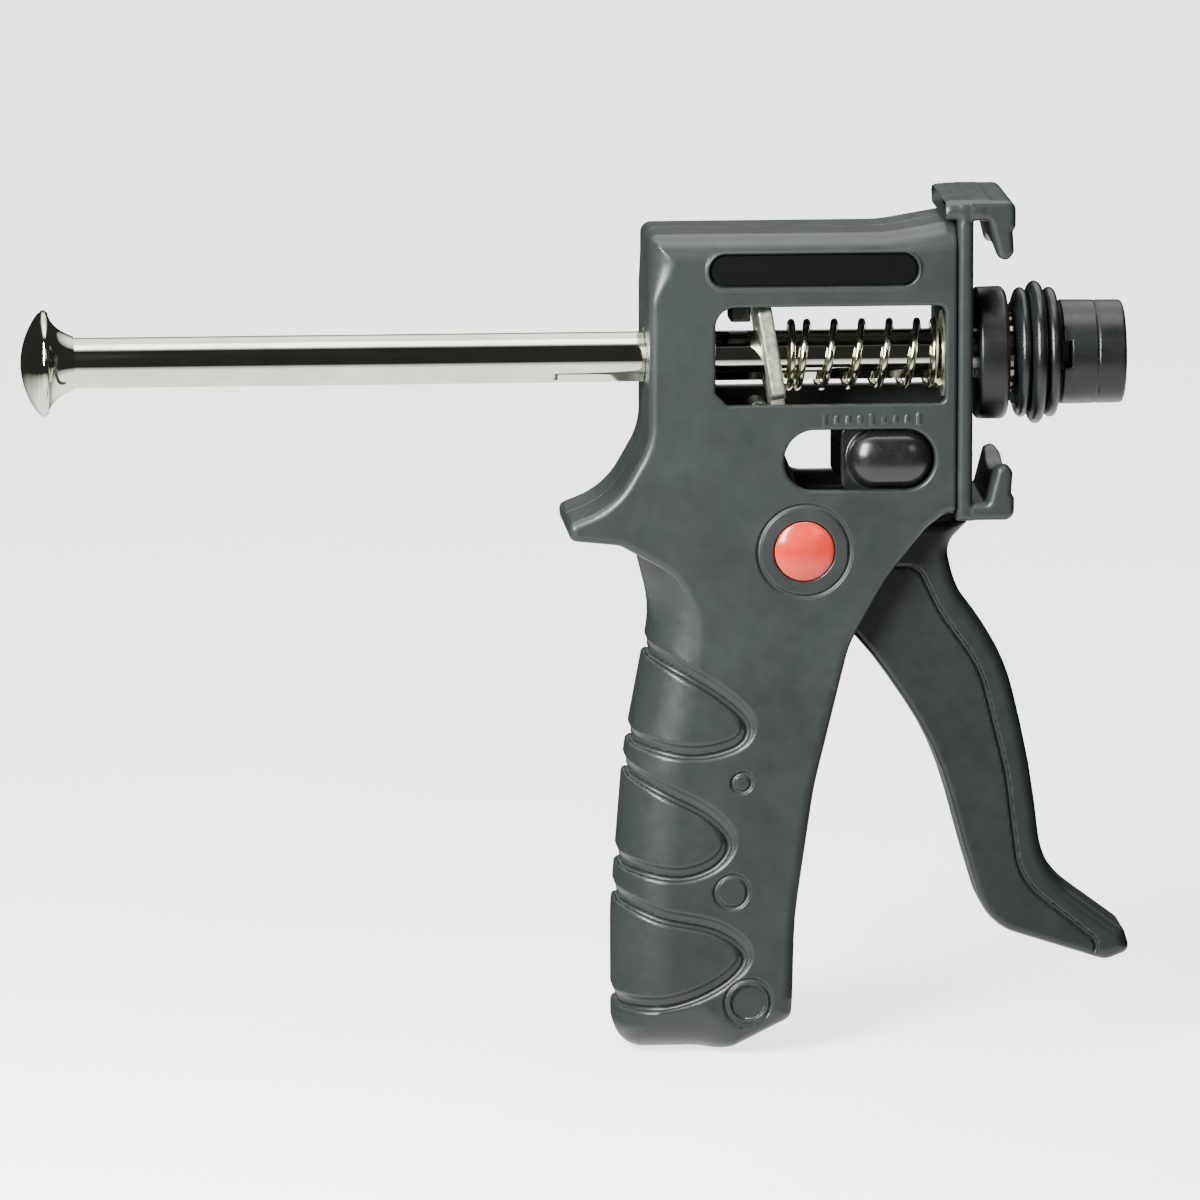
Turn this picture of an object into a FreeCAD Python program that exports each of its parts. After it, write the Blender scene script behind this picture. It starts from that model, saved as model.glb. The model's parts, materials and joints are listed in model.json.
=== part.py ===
"""Hand-held cartridge gun with a push rod, a jam-plate drive and a lever trigger.

Millimetres. +X runs forward along the rod, +Y to the gun's left, +Z up.
The origin is on the rod's axis, on the front face of the cartridge holder.
"""
import FreeCAD, Part
import math
import os

V = FreeCAD.Vector
X_AXIS = V(1, 0, 0)
Y_AXIS = V(0, 1, 0)
ORIGIN = V(0, 0, 0)
BIG = 400.0

# ---------------------------------------------------------------- driving dimensions
WIDTH = 29.0              # across the housing and the holder
HALF = WIDTH / 2
WALL = 2.5                # moulded shell
GRIP_WALL = 3.0
BAY_HALF = HALF - WALL    # half width of the space inside
RUN = 0.05                # radial clearance of a running fit
GAP = 0.3                 # between moving pieces that are not a fit
PAST = 1.0                # how far a cutter runs past the face that it opens

ROD_R = 5.0
ROD_REAR = -184.0
ROD_SHOULDER = 7.7
SPIGOT_R = 3.0
SPIGOT_END = 24.0
THREAD_R = 2.0            # screw hole in the rod's end
THREAD_START = 13.0
FLAT_DEPTH = 0.5
FLAT_START = -82.0
FLAT_TURN = 30.0          # degrees that the flat faces away from straight down, to the right

KNOB_R = 10.6
KNOB_DOME = -188.7
KNOB_RIM_REAR = -185.0
KNOB_RIM_FRONT = -183.0
KNOB_NECK = -178.2

REAR_X = -64.6
TOP_Z = 25.9
FRONT_X = -3.2            # housing front, which is the holder's back
NOSE_TOP_Z = 28.4
NOSE_LOW_Z = -30.3
GRIP_BOTTOM_Z = -139.5
BAY_Z = (-29.0, 23.0)     # hollow round the mechanism
BLOCK_FRONT = -53.0       # solid block at the rear that holds the rear guide
BLOCK_HALF_Z = 11.0
STOP_X = (-47.6, -43.5)   # rib under the roof, behind the drive plate's top
STOP_LOW_Z = 7.2
STOP_HALF = 8.0
GRIP_HOLLOW_TOP = -58.0
MECHANISM_R = 9.4         # round recess behind the holder
BAY_FRONT = -8.0

WINDOW_X = (-51.4, -5.6)
WINDOW_Z = (-8.0, 11.7)
WINDOW_CORNER_R = 1.2
SLOT_X = (-37.6, -7.6)
SLOT_Z = (-25.3, -13.1)
SLOT_CORNER_R = 6.0
PILL_X = (-52.6, -11.0)
PILL_Z = (15.75, 22.4)
PILL_CORNER_R = 3.2
PILL_DEPTH = 1.2
INLAY_THICK = 0.8
INLAY_GAP = 0.2

HOLDER_TOP = 32.5
HOLDER_LOW = -31.75
ROOF_UNDER = 28.6
FLOOR_UPPER = -28.5
ROOF_REAR = -4.6
ROOF_EDGE_R = 2.0
LIP_FRONT = 8.4
LIP_ROOT_IN = 2.7
LIP_TIP_IN = 4.9
LIP_TIP_Z = 20.4
NECK_ARC_R = 23.2         # round cut between a lip's two horns
TAB_NECK = (2.0, 7.0)     # depth and half width of the tabs that the housing closes on
TAB_WING = (1.6, 9.4)
TAB_TOP_Z = (14.2, 24.2)
TAB_LOW_Z = (-27.5, -14.2)

GUIDE_R = 8.0
GUIDE_X = (-63.0, -53.2)
GUIDE_RECESS_END = -52.0
GUIDE_FRONT_R = 7.2
GUIDE_FLANGE = (0.9, 9.0) # thickness and radius
BRAKE_X = (-60.2, -57.8)
BRAKE_R = 6.6
SEAT = (0.8, 8.6)         # thickness and radius of the washer under the spring

PIVOT = (-33.6, -37.4)
PIN_R = 3.0
BUSH_R = 4.5
HUB_R = 8.0
TRIGGER_HALF = 8.0
ARM_HALF = 4.0
ARM_REACH = 28.05         # pivot to the centre of the arm's round tip
ARM_LEAN = -17.1          # degrees from upright, at rest
ARM_TIP_R = 2.0
ARM_NECK = 1.3            # half thickness of the arm just below its tip
ARM_ROOT_R = 4.2

PLATE_X = -39.6           # where the plate's middle crosses the rod's axis
PLATE_THICK = 3.0
PLATE_LEAN = 9.5          # degrees, top to the rear
PLATE_Z = (-7.6, 11.3)
PLATE_HALF = 11.3
PLATE_CORNER_R = 2.0
TONGUE_HALF = 4.0
TONGUE_LOW = -12.6

SPRING_R = 6.475          # to the middle of the wire
WIRE_R = 0.725
SPRING_X = (-36.5, -4.9)
SPRING_TURNS = 6

DOSE_X = (-24.9, -7.9)
DOSE_Z = (-25.0, -13.4)
DOSE_RISE = 1.3           # the knob's crown above the housing's side
DOSE_CORNER_R = 5.6
DOSE_CROWN_R = 2.6
FLANGE = (1.2, 0.9)       # how far the hidden flange passes the knob along X and along Z
FLANGE_Y = (9.9, 11.7)
FLANGE_CORNER_R = 2.0
DOSE_BAR_X = -11.5
DOSE_BAR_R = 2.0

CAP_R = 6.0
CAP_RISE = 1.4
CAP_SINK = 1.0            # how deep each cap sits in the housing

DISC_X = (1.5, 7.7)
DISC_R = 13.3
WASHER_X = (7.7, 8.9)
WASHER_R = 6.9
TOOTH_R = 7.9
TOOTH_COUNT = 16
TOOTH_HALF = 0.6
SEAL_X = (8.9, 18.0)
NOSE_X = (18.0, 31.3)
NOSE_R = 10.45
PLUNGER_SEAT_X = 27.0     # where the end screw's head bears on the nose

SCREW_R = 1.45
SCREW_HEAD_R = 3.1
SCREW_HEAD_DEEP = 3.6
SCREW_HEAD_THICK = 2.2
SCREW_TIP_Y = -9.0
DRIVE_SLOT = (3.8, 0.7, 1.2)  # length, width and depth of each arm of the cross
BOSS_R = 3.7
SCREWS = [(-58.2, 18.6), (-58.2, -19.5), (-46.0, -84.1), (-48.0, -106.3), (-44.6, -128.9)]


# ---------------------------------------------------------------- small helpers
def point(x, z, y=0.0):
    return V(x, y, z)


def box(x, y, z):
    """Box from three (low, high) pairs."""
    return Part.makeBox(x[1] - x[0], y[1] - y[0], z[1] - z[0], V(x[0], y[0], z[0]))


def rod_x(radius, x0, x1):
    """Cylinder on the rod's axis."""
    return Part.makeCylinder(radius, x1 - x0, V(x0, 0, 0), X_AXIS)


def rod_y(radius, y0, y1, at):
    """Cylinder across the gun, at a point (x, z)."""
    return Part.makeCylinder(radius, y1 - y0, V(at[0], y0, at[1]), Y_AXIS)


def inset(corners, depth):
    """Corners (x, z, radius) of a clockwise outline, moved inwards by depth."""
    count = len(corners)
    moved = []
    for i in range(count):
        before, here, after = corners[i - 1], corners[i], corners[(i + 1) % count]
        ax, az = unit(here[0] - before[0], here[1] - before[1])
        bx, bz = unit(after[0] - here[0], after[1] - here[1])
        turn = ax * bz - az * bx
        spread = 1 + ax * bx + az * bz
        x = here[0] + depth * (az + bz) / spread
        z = here[1] - depth * (ax + bx) / spread
        radius = here[2] + depth if turn > 0 else max(here[2] - depth, 0.0)
        moved.append((x, z, radius))
    return moved


def unit(x, z):
    length = math.hypot(x, z)
    return x / length, z / length


def rounded_face(corners):
    """Flat face in the XZ plane from corners (x, z, radius), each rounded by an arc."""
    count = len(corners)
    stops = []
    for i in range(count):
        before, here, after = corners[i - 1], corners[i], corners[(i + 1) % count]
        ax, az = unit(here[0] - before[0], here[1] - before[1])
        bx, bz = unit(after[0] - here[0], after[1] - here[1])
        turn = math.atan2(ax * bz - az * bx, ax * bx + az * bz)
        if here[2] <= 0 or abs(turn) < 1e-4:
            stops.append((point(here[0], here[1]),))
            continue
        back = here[2] * math.tan(abs(turn) / 2)
        start = point(here[0] - ax * back, here[1] - az * back)
        end = point(here[0] + bx * back, here[1] + bz * back)
        side = 1 if turn > 0 else -1
        centre = point(start.x - side * az * here[2], start.z + side * ax * here[2])
        towards = (point(here[0], here[1]) - centre).normalize()
        stops.append((start, centre + towards * here[2], end))
    edges = []
    for i in range(count):
        if len(stops[i]) == 3:
            edges.append(Part.Arc(*stops[i]).toShape())
        start, end = stops[i][-1], stops[(i + 1) % count][0]
        if (end - start).Length > 1e-6:
            edges.append(Part.LineSegment(start, end).toShape())
    return Part.Face(Part.Wire(edges))


def slab(corners, half):
    """Outline extruded both ways from the middle plane."""
    face = rounded_face(corners)
    face.translate(V(0, -half, 0))
    return face.extrude(V(0, 2 * half, 0))


def rectangle(x, z, radius):
    """Clockwise corners of a rectangle with one corner radius."""
    return [(x[0], z[1], radius), (x[1], z[1], radius), (x[1], z[0], radius), (x[0], z[0], radius)]


def turned(profile):
    """Solid of revolution about the rod's axis from a closed list of (x, r) points and arcs."""
    edges = []
    here = profile[0]
    for step in profile[1:] + [profile[0]]:
        if len(step) == 4:
            arc = Part.Arc(point(*here), point(step[0], step[1]), point(step[2], step[3]))
            edges.append(arc.toShape())
            here = step[2:]
        else:
            edges.append(Part.LineSegment(point(*here), point(*step)).toShape())
            here = step
    return Part.Face(Part.Wire(edges)).revolve(ORIGIN, X_AXIS, 360)


def fuse(first, *others):
    return first.fuse(list(others)).removeSplitter()


def edges_near(shape, test):
    """Edges whose middle and ends all pass the test."""
    chosen = []
    for edge in shape.Edges:
        low, high = edge.ParameterRange
        spots = [edge.valueAt(low + (high - low) * share) for share in (0.02, 0.5, 0.98)]
        if all(test(spot) for spot in spots):
            chosen.append(edge)
    return chosen


def save(name, shape):
    shape.exportStep("parts/" + name + ".step")


# ---------------------------------------------------------------- housing
BODY = [
    (REAR_X, TOP_Z, 0),
    (-17.0, TOP_Z, 25.0),
    (FRONT_X, NOSE_TOP_Z, 0),
    (FRONT_X, NOSE_LOW_Z, 0),
    (-7.4, -31.0, 3.0),
    (-16.8, -43.0, 30.0),
    (-24.3, -56.2, 20.0),
    (-26.0, -62.0, 0),
    (-53.4, -62.0, 0),
    (-54.6, -52.0, 12.0),
    (-59.5, -41.0, 10.0),
    (-70.6, -35.4, 3.0),
    (-80.2, -35.0, 1.2),
    (-80.9, -32.0, 1.2),
    (-71.6, -28.0, 16.0),
    (REAR_X, -15.6, 14.0),
]
TOP_EDGE_R = 4.5
REAR_EDGE_R = 1.8
GRIP_TOP_Z = -34.0
GRIP = [
    (-67.0, GRIP_TOP_Z, 0),
    (-20.0, GRIP_TOP_Z, 0),
    (-24.5, -57.0, 30.0),
    (-31.4, -85.5, 60.0),
    (-35.2, -112.0, 60.0),
    (-35.7, -132.6, 2.4),
    (-49.5, GRIP_BOTTOM_Z, 10.0),
    (-71.3, GRIP_BOTTOM_Z, 0),
    (-71.1, -112.0, 60.0),
    (-68.6, -80.0, 90.0),
    (-63.2, -51.0, 22.0),
]
GRIP_BACK_R = 10.0
GRIP_FRONT_R = 3.0
GROOVE_DEPTH = 1.2
GROOVE_WIDE = 2.6
# each finger band starts and ends behind the grip's back: (x, z) of start, bend and end
BANDS = [
    [(-80.0, -51.5), (-57.0, -61.5), (-44.8, -72.0), (-50.0, -78.4), (-80.0, -76.0)],
    [(-80.0, -77.0), (-57.0, -88.3), (-48.6, -95.4), (-56.0, -103.0), (-80.0, -100.0)],
    [(-80.0, -104.5), (-57.0, -112.4), (-45.2, -118.6), (-54.0, -127.6), (-80.0, -130.6)],
]


def grip_solid(depth):
    """The grip, or with a depth the grip shrunk by that much all round."""
    solid = slab(inset(GRIP, depth), HALF - depth)
    side = HALF - depth
    low = GRIP_BOTTOM_Z + depth

    def on_back(spot):
        return abs(abs(spot.y) - side) < 0.01 and spot.x < -60 and low + 0.01 < spot.z

    solid = solid.makeFillet(GRIP_BACK_R - depth, edges_near(solid, on_back))

    def on_front(spot):
        return abs(abs(spot.y) - side) < 0.01 and spot.x > -50 and spot.z < -40

    if depth < GRIP_FRONT_R:
        solid = solid.makeFillet(GRIP_FRONT_R - depth, edges_near(solid, on_front))
    return solid


def body_solid():
    """Upper body, with its long top edges rounded."""
    solid = slab(BODY, HALF)

    def on_top(spot):
        return abs(abs(spot.y) - HALF) < 0.01 and spot.z > TOP_Z - 0.1

    solid = solid.makeFillet(TOP_EDGE_R, edges_near(solid, on_top))

    def on_rear(spot):
        return abs(spot.x - REAR_X) < 0.01 and spot.z > -14

    return solid.makeFillet(REAR_EDGE_R, [edge for edge in edges_near(solid, on_rear) if edge.Length > 1])


def grooves():
    """Three bands round the grip's back that help the hand to hold it."""
    around = box((-90, -30), (-HALF - 1, HALF + 1), (-135, -50))
    shell = around.cut(grip_solid(GROOVE_DEPTH))
    cutters = []
    for band in BANDS:
        edges = []
        for start, end in zip(band, band[1:]):
            edges.append(Part.LineSegment(point(*start), point(*end)).toShape())
        ring = Part.Wire(edges).makeOffset2D(GROOVE_WIDE / 2)
        face = Part.Face(ring)
        face.translate(V(0, -HALF - 1, 0))
        cutters.append(face.extrude(V(0, WIDTH + 2, 0)))
    return shell.common(cutters[0].fuse(cutters[1:]))


def bay():
    """Hollow round the rod, spring, plate and dose slider."""
    hollow = box((REAR_X + WALL, FRONT_X - TAB_NECK[0]), (-BAY_HALF, BAY_HALF), BAY_Z)
    block = box((REAR_X, BLOCK_FRONT), (-HALF, HALF), (-BLOCK_HALF_Z, BLOCK_HALF_Z))
    stop = box(STOP_X, (-STOP_HALF, STOP_HALF), (STOP_LOW_Z, BAY_Z[1]))
    return hollow.cut([block, stop])


MOUTH = [
    (-50.0, -28.0, 0),
    (FRONT_X + 4.0, -28.0, 0),
    (FRONT_X + 4.0, -48.0, 0),
    (-16.0, -75.0, 0),
    (-33.0, -75.0, 3.0),
    (-47.0, -50.0, 6.0),
]


def housing():
    """Both halves as one body, before it is split at the middle plane."""
    solid = body_solid().fuse(grip_solid(0.0))
    solid = solid.cut(grooves())
    hollow = grip_solid(GRIP_WALL)
    hollow = hollow.cut(box((-BIG, BIG), (-BIG, BIG), (GRIP_HOLLOW_TOP, 0)))
    solid = solid.cut([bay(), hollow, slab(MOUTH, TRIGGER_HALF + 2 * GAP)])
    posts = []
    for at in SCREWS:
        posts.append(rod_y(BOSS_R, -BAY_HALF, BAY_HALF, at))
    ears = rod_y(HUB_R, -BAY_HALF, BAY_HALF, PIVOT)
    ears = ears.cut(rod_y(HUB_R + PAST, -TRIGGER_HALF - GAP, TRIGGER_HALF + GAP, PIVOT))
    solid = solid.fuse(posts + [ears])
    return solid.cut(windows() + bores())


def windows():
    """Cutters for the spring windows, the dose slots and the inlays' recesses."""
    beyond = HALF + PAST
    window = slab(rectangle(WINDOW_X, WINDOW_Z, WINDOW_CORNER_R), beyond)
    slot = slab(rectangle(SLOT_X, SLOT_Z, SLOT_CORNER_R), beyond)
    pill = slab(rectangle(PILL_X, PILL_Z, PILL_CORNER_R), beyond)
    pill = pill.cut(box((-BIG, BIG), (PILL_DEPTH - HALF, HALF - PILL_DEPTH), (-BIG, BIG)))
    return [window, slot, pill]


def bores():
    """Cutters for the guides, the rod, the holder's tabs, the pin, the caps and the screws."""
    beyond = HALF + PAST
    cuts = [holder_tabs()]
    cuts.append(rod_x(GUIDE_R, GUIDE_X[0], GUIDE_RECESS_END))
    cuts.append(rod_x(ROD_R + 2 * GAP, REAR_X - PAST, GUIDE_X[0]))
    cuts.append(rod_x(MECHANISM_R, BAY_FRONT, FRONT_X + PAST))
    cuts.append(rod_y(PIN_R, -beyond, beyond, PIVOT))
    cuts.append(rod_y(CAP_R, HALF - CAP_SINK, beyond, PIVOT))
    cuts.append(rod_y(CAP_R, -beyond, CAP_SINK - HALF, PIVOT))
    for at in SCREWS:
        cuts.append(rod_y(SCREW_R, SCREW_TIP_Y - GAP, HALF, at))
        cuts.append(rod_y(SCREW_HEAD_R + GAP, HALF - SCREW_HEAD_DEEP - SCREW_HEAD_THICK, beyond, at))
    return cuts


def save_housing():
    whole = housing()
    right = whole.common(box((-BIG, BIG), (-BIG, 0), (-BIG, BIG)))
    left = whole.common(box((-BIG, BIG), (0, BIG), (-BIG, BIG)))
    save("housing_right", right)
    save("housing_left", left)


def save_inlays():
    x = (PILL_X[0] + INLAY_GAP, PILL_X[1] - INLAY_GAP)
    z = (PILL_Z[0] + INLAY_GAP, PILL_Z[1] - INLAY_GAP)
    plate = slab(rectangle(x, z, PILL_CORNER_R - INLAY_GAP), HALF)
    floor = HALF - PILL_DEPTH
    save("inlay_left", plate.common(box((-BIG, BIG), (floor, floor + INLAY_THICK), (-BIG, BIG))))
    save("inlay_right", plate.common(box((-BIG, BIG), (-floor - INLAY_THICK, -floor), (-BIG, BIG))))


def save_screws():
    """Five cross-slot screws, driven from the left."""
    head_y = HALF - SCREW_HEAD_DEEP
    length, width, deep = DRIVE_SLOT
    screws = []
    for at in SCREWS:
        shank = rod_y(SCREW_R, SCREW_TIP_Y, head_y, at)
        head = rod_y(SCREW_HEAD_R, head_y - SCREW_HEAD_THICK, head_y, at)
        screw = fuse(shank, head)
        for turn in (0, 90):
            blade = box((-length / 2, length / 2), (head_y - deep, head_y + PAST), (-width / 2, width / 2))
            blade.rotate(ORIGIN, Y_AXIS, turn)
            blade.translate(point(*at))
            screw = screw.cut(blade)
        screws.append(screw)
    save("housing_screws", Part.makeCompound(screws))


# ---------------------------------------------------------------- cartridge holder
def holder_tabs():
    """Two T-shaped tabs that the housing halves close on."""
    tabs = []
    step = FRONT_X - TAB_NECK[0]
    for height in (TAB_TOP_Z, TAB_LOW_Z):
        neck = box((step, FRONT_X), (-TAB_NECK[1], TAB_NECK[1]), height)
        wings = box((step - TAB_WING[0], step), (-TAB_WING[1], TAB_WING[1]), height)
        tabs.append(fuse(neck, wings))
    return tabs[0].fuse(tabs[1])


def lip(up):
    """Front lip of the roof (up = 1) or the floor (up = -1)."""
    root = ROOF_UNDER if up > 0 else -FLOOR_UPPER
    crest = HOLDER_TOP if up > 0 else -HOLDER_LOW
    side = [
        (LIP_ROOT_IN, root + 0.5, 0),
        (LIP_ROOT_IN, crest, 0),
        (LIP_FRONT, crest, 1.6),
        (LIP_FRONT, 27.2, 0.4),
        (LIP_FRONT - 0.6, 26.6, 0.4),
        (LIP_FRONT - 0.3, LIP_TIP_Z + 1.5, 1.0),
        (LIP_FRONT - 1.6, LIP_TIP_Z, 1.0),
        (LIP_TIP_IN, LIP_TIP_Z + 0.6, 0.8),
        (LIP_ROOT_IN + 0.6, root - 1.6, 1.2),
    ]
    if up < 0:
        side = [(x, -z, r) for x, z, r in reversed(side)]
    solid = slab(side, HALF)
    return solid.cut(rod_x(NECK_ARC_R, 0.5, LIP_FRONT + 1))


def save_holder():
    plate = slab(rectangle((FRONT_X, 0.0), (HOLDER_LOW, HOLDER_TOP), 0.6), HALF)
    roof = box((ROOF_REAR, LIP_FRONT - 2), (-HALF, HALF), (ROOF_UNDER, HOLDER_TOP))
    floor = box((FRONT_X, LIP_FRONT - 2), (-HALF, HALF), (HOLDER_LOW, FLOOR_UPPER))
    solid = fuse(plate, roof, floor, lip(1), lip(-1), holder_tabs())

    def corner(spot):
        return abs(abs(spot.y) - HALF) < 0.01 and (spot.z > HOLDER_TOP - 0.01)

    solid = solid.makeFillet(ROOF_EDGE_R, edges_near(solid, corner))
    save("cartridge_holder", solid.cut(rod_x(GUIDE_FRONT_R, BAY_FRONT - PAST, PAST)))


# ---------------------------------------------------------------- rod, guides and knob
def rod_flat():
    """Cutter for the long flat along the rod's underside."""
    cutter = box((FLAT_START, ROD_SHOULDER), (-ROD_R, ROD_R), (-2 * ROD_R, FLAT_DEPTH - ROD_R))
    cutter.rotate(ORIGIN, X_AXIS, -FLAT_TURN)
    return cutter


def save_rod():
    shaft = rod_x(ROD_R, ROD_REAR, ROD_SHOULDER)
    spigot = rod_x(SPIGOT_R, ROD_SHOULDER, SPIGOT_END)
    thread_hole = rod_x(THREAD_R, THREAD_START, SPIGOT_END)
    save("push_rod", fuse(shaft, spigot).cut([rod_flat(), thread_hole]))
    knob = turned([
        (KNOB_DOME, 0),
        (KNOB_DOME + 0.9, 6.4, KNOB_RIM_REAR - 0.6, KNOB_R - 0.7),
        (KNOB_RIM_REAR - 0.1, KNOB_R - 0.2, KNOB_RIM_REAR + 0.5, KNOB_R),
        (KNOB_RIM_FRONT - 0.3, KNOB_R),
        (KNOB_RIM_FRONT + 0.5, KNOB_R - 1.0),
        (KNOB_RIM_FRONT + 1.6, ROD_R + 2.2, KNOB_NECK, ROD_R + 0.4),
        (KNOB_NECK, ROD_R),
        (ROD_REAR, ROD_R),
        (ROD_REAR, 0),
    ])
    save("rod_knob", knob)


def save_guides():
    bore = rod_x(ROD_R + RUN, REAR_X, PAST)
    ring = rod_x(BRAKE_R, *BRAKE_X)
    save("rod_guide_rear", rod_x(GUIDE_R, *GUIDE_X).cut([bore, ring]))
    save("rod_brake_ring", ring.cut(bore))
    step = FRONT_X - GUIDE_FLANGE[0]
    flange = rod_x(GUIDE_FLANGE[1], step, FRONT_X)
    barrel = rod_x(GUIDE_FRONT_R, FRONT_X, 0.0)
    save("rod_guide_front", fuse(flange, barrel).cut(bore))
    seat = rod_x(SEAT[1], step - SEAT[0], step)
    save("spring_seat", seat.cut(rod_x(ROD_R + GAP, REAR_X, 0)))


# ---------------------------------------------------------------- plunger
def save_plunger():
    disc = turned([
        (DISC_X[0], ROD_R),
        (DISC_X[0], DISC_R - 0.4),
        (DISC_X[0] + 0.5, DISC_R),
        (DISC_X[1] - 0.9, DISC_R),
        (DISC_X[1], DISC_R - 0.7),
        (DISC_X[1], ROD_R),
    ])
    save("plunger_disc", disc)
    washer = rod_x(WASHER_R, *WASHER_X).cut(rod_x(SPIGOT_R + RUN, 0, SPIGOT_END))
    teeth = []
    for step in range(TOOTH_COUNT):
        tooth = box(WASHER_X, (-TOOTH_HALF, TOOTH_HALF), (WASHER_R - PAST, TOOTH_R))
        tooth.rotate(ORIGIN, X_AXIS, step * 360 / TOOTH_COUNT)
        teeth.append(tooth)
    save("lock_washer", fuse(washer, *teeth))
    seal = turned([
        (SEAL_X[0], SPIGOT_R + RUN),
        (SEAL_X[0], 10.4),
        (10.9, 12.7),
        (11.4, 12.9),
        (13.2, 14.3, 15.2, 12.4),
        (15.5, 12.2),
        (16.7, 12.9, SEAL_X[1], 11.8),
        (SEAL_X[1], SPIGOT_R + RUN),
    ])
    save("plunger_seal", seal)
    nose = turned([
        (NOSE_X[0], SPIGOT_R + RUN),
        (NOSE_X[0], NOSE_R),
        (25.3, NOSE_R),
        (25.6, NOSE_R - 0.3),
        (25.9, NOSE_R),
        (NOSE_X[1] - 1.0, NOSE_R),
        (NOSE_X[1] - 0.3, NOSE_R - 0.3, NOSE_X[1], NOSE_R - 1.0),
        (NOSE_X[1], 4.8),
        (PLUNGER_SEAT_X, 4.8),
        (PLUNGER_SEAT_X, SPIGOT_R + RUN),
    ])
    save("plunger_nose", nose)
    save("plunger_screw", plunger_screw())


def plunger_screw():
    """Hexagon-socket screw in the rod's end, which holds the plunger on."""
    screw = turned([
        (THREAD_START + 1.0, 0),
        (THREAD_START + 1.0, THREAD_R),
        (PLUNGER_SEAT_X, THREAD_R),
        (PLUNGER_SEAT_X, 4.2),
        (PLUNGER_SEAT_X + 1.6, 4.2),
        (PLUNGER_SEAT_X + 2.3, 3.4),
        (PLUNGER_SEAT_X + 2.3, 0),
    ])
    socket = Part.Face(Part.makePolygon(hexagon(1.5, PLUNGER_SEAT_X + 0.6)))
    return screw.cut(socket.extrude(V(2.0, 0, 0)))


def hexagon(radius, x):
    corners = []
    for step in range(7):
        angle = math.radians(60 * step)
        corners.append(V(x, radius * math.cos(angle), radius * math.sin(angle)))
    return corners


# ---------------------------------------------------------------- plate and spring
def save_drive_plate():
    """Jam plate, leaning back, with a tongue that the trigger's arm pushes."""
    thick = PLATE_THICK / 2
    wide = box((-thick, thick), (-PLATE_HALF, PLATE_HALF), PLATE_Z)
    tongue = box((-thick, thick), (-TONGUE_HALF, TONGUE_HALF), (TONGUE_LOW, 0))

    def corner(spot):
        return abs(abs(spot.y) - PLATE_HALF) < 0.01 and abs(spot.x) < thick - 0.01

    corners = edges_near(wide, corner)
    plate = fuse(wide.makeFillet(PLATE_CORNER_R, corners), tongue)
    plate.rotate(ORIGIN, Y_AXIS, -PLATE_LEAN)
    plate.translate(V(PLATE_X, 0, 0))
    save("drive_plate", plate.cut(rod_x(ROD_R + GAP, -60, -20)))


def save_spring():
    length = SPRING_X[1] - SPRING_X[0] - 2 * WIRE_R
    pitch = length / SPRING_TURNS
    helix = Part.makeHelix(pitch, length, SPRING_R, 0, True)
    wire = Part.Wire(helix.Edges)
    start = V(SPRING_R, 0, 0)
    tangent = V(0, -2 * math.pi * SPRING_R, pitch)
    section = Part.Wire(Part.makeCircle(WIRE_R, start, tangent))
    spring = wire.makePipeShell([section], True, True)
    spring.rotate(ORIGIN, Y_AXIS, 90)
    spring.translate(V(SPRING_X[0] + WIRE_R, 0, 0))
    save("return_spring", spring)
    return spring


# ---------------------------------------------------------------- trigger
TRIGGER = [
    (-33.6, -29.4, 0),
    (-12.0, -32.6, 6.0),
    (0.6, -32.4, 0.5),
    (-4.6, -37.6, 5.0),
    (-2.6, -46.4, 20.0),
    (7.2, -59.6, 40.0),
    (12.6, -82.0, 150.0),
    (15.4, -104.4, 18.0),
    (31.9, -116.6, 2.8),
    (33.2, -121.0, 1.8),
    (28.2, -123.0, 4.0),
    (4.0, -115.2, 12.0),
    (-0.6, -100.0, 60.0),
    (-6.4, -78.6, 68.0),
    (-20.6, -57.8, 70.0),
    (-33.6, -45.4, 0),
]
TRIGGER_PANEL = [
    (-24.0, -44.0, 4.0),
    (-12.5, -43.6, 5.0),
    (2.0, -63.0, 24.0),
    (7.6, -84.0, 40.0),
    (10.4, -105.0, 12.0),
    (22.0, -114.6, 0),
    (22.0, -130.0, 0),
    (-20.0, -130.0, 0),
    (-30.0, -60.0, 0),
]
PANEL_DEPTH = 1.0


def save_trigger():
    lever = slab(TRIGGER, TRIGGER_HALF)
    hub = rod_y(HUB_R, -TRIGGER_HALF, TRIGGER_HALF, PIVOT)
    tip = (PIVOT[0] + ARM_REACH * math.sin(math.radians(ARM_LEAN)),
           PIVOT[1] + ARM_REACH * math.cos(math.radians(ARM_LEAN)))
    across_x, across_z = unit(tip[1] - PIVOT[1], PIVOT[0] - tip[0])
    arm = slab([
        (tip[0] - across_x * ARM_NECK, tip[1] - across_z * ARM_NECK, 0),
        (tip[0] + across_x * ARM_NECK, tip[1] + across_z * ARM_NECK, 0),
        (PIVOT[0] + across_x * ARM_ROOT_R, PIVOT[1] + across_z * ARM_ROOT_R, 0),
        (PIVOT[0] - across_x * ARM_ROOT_R, PIVOT[1] - across_z * ARM_ROOT_R, 0),
    ], ARM_HALF)
    end = rod_y(ARM_TIP_R, -ARM_HALF, ARM_HALF, tip)
    panel = slab(TRIGGER_PANEL, TRIGGER_HALF + PAST)
    kept = TRIGGER_HALF - PANEL_DEPTH
    panel = panel.cut(box((-BIG, BIG), (-kept, kept), (-BIG, BIG)))
    trigger = fuse(lever.cut(panel), hub, arm, end).cut(rod_y(BUSH_R, -BIG, BIG, PIVOT))
    save("trigger", trigger)


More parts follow.
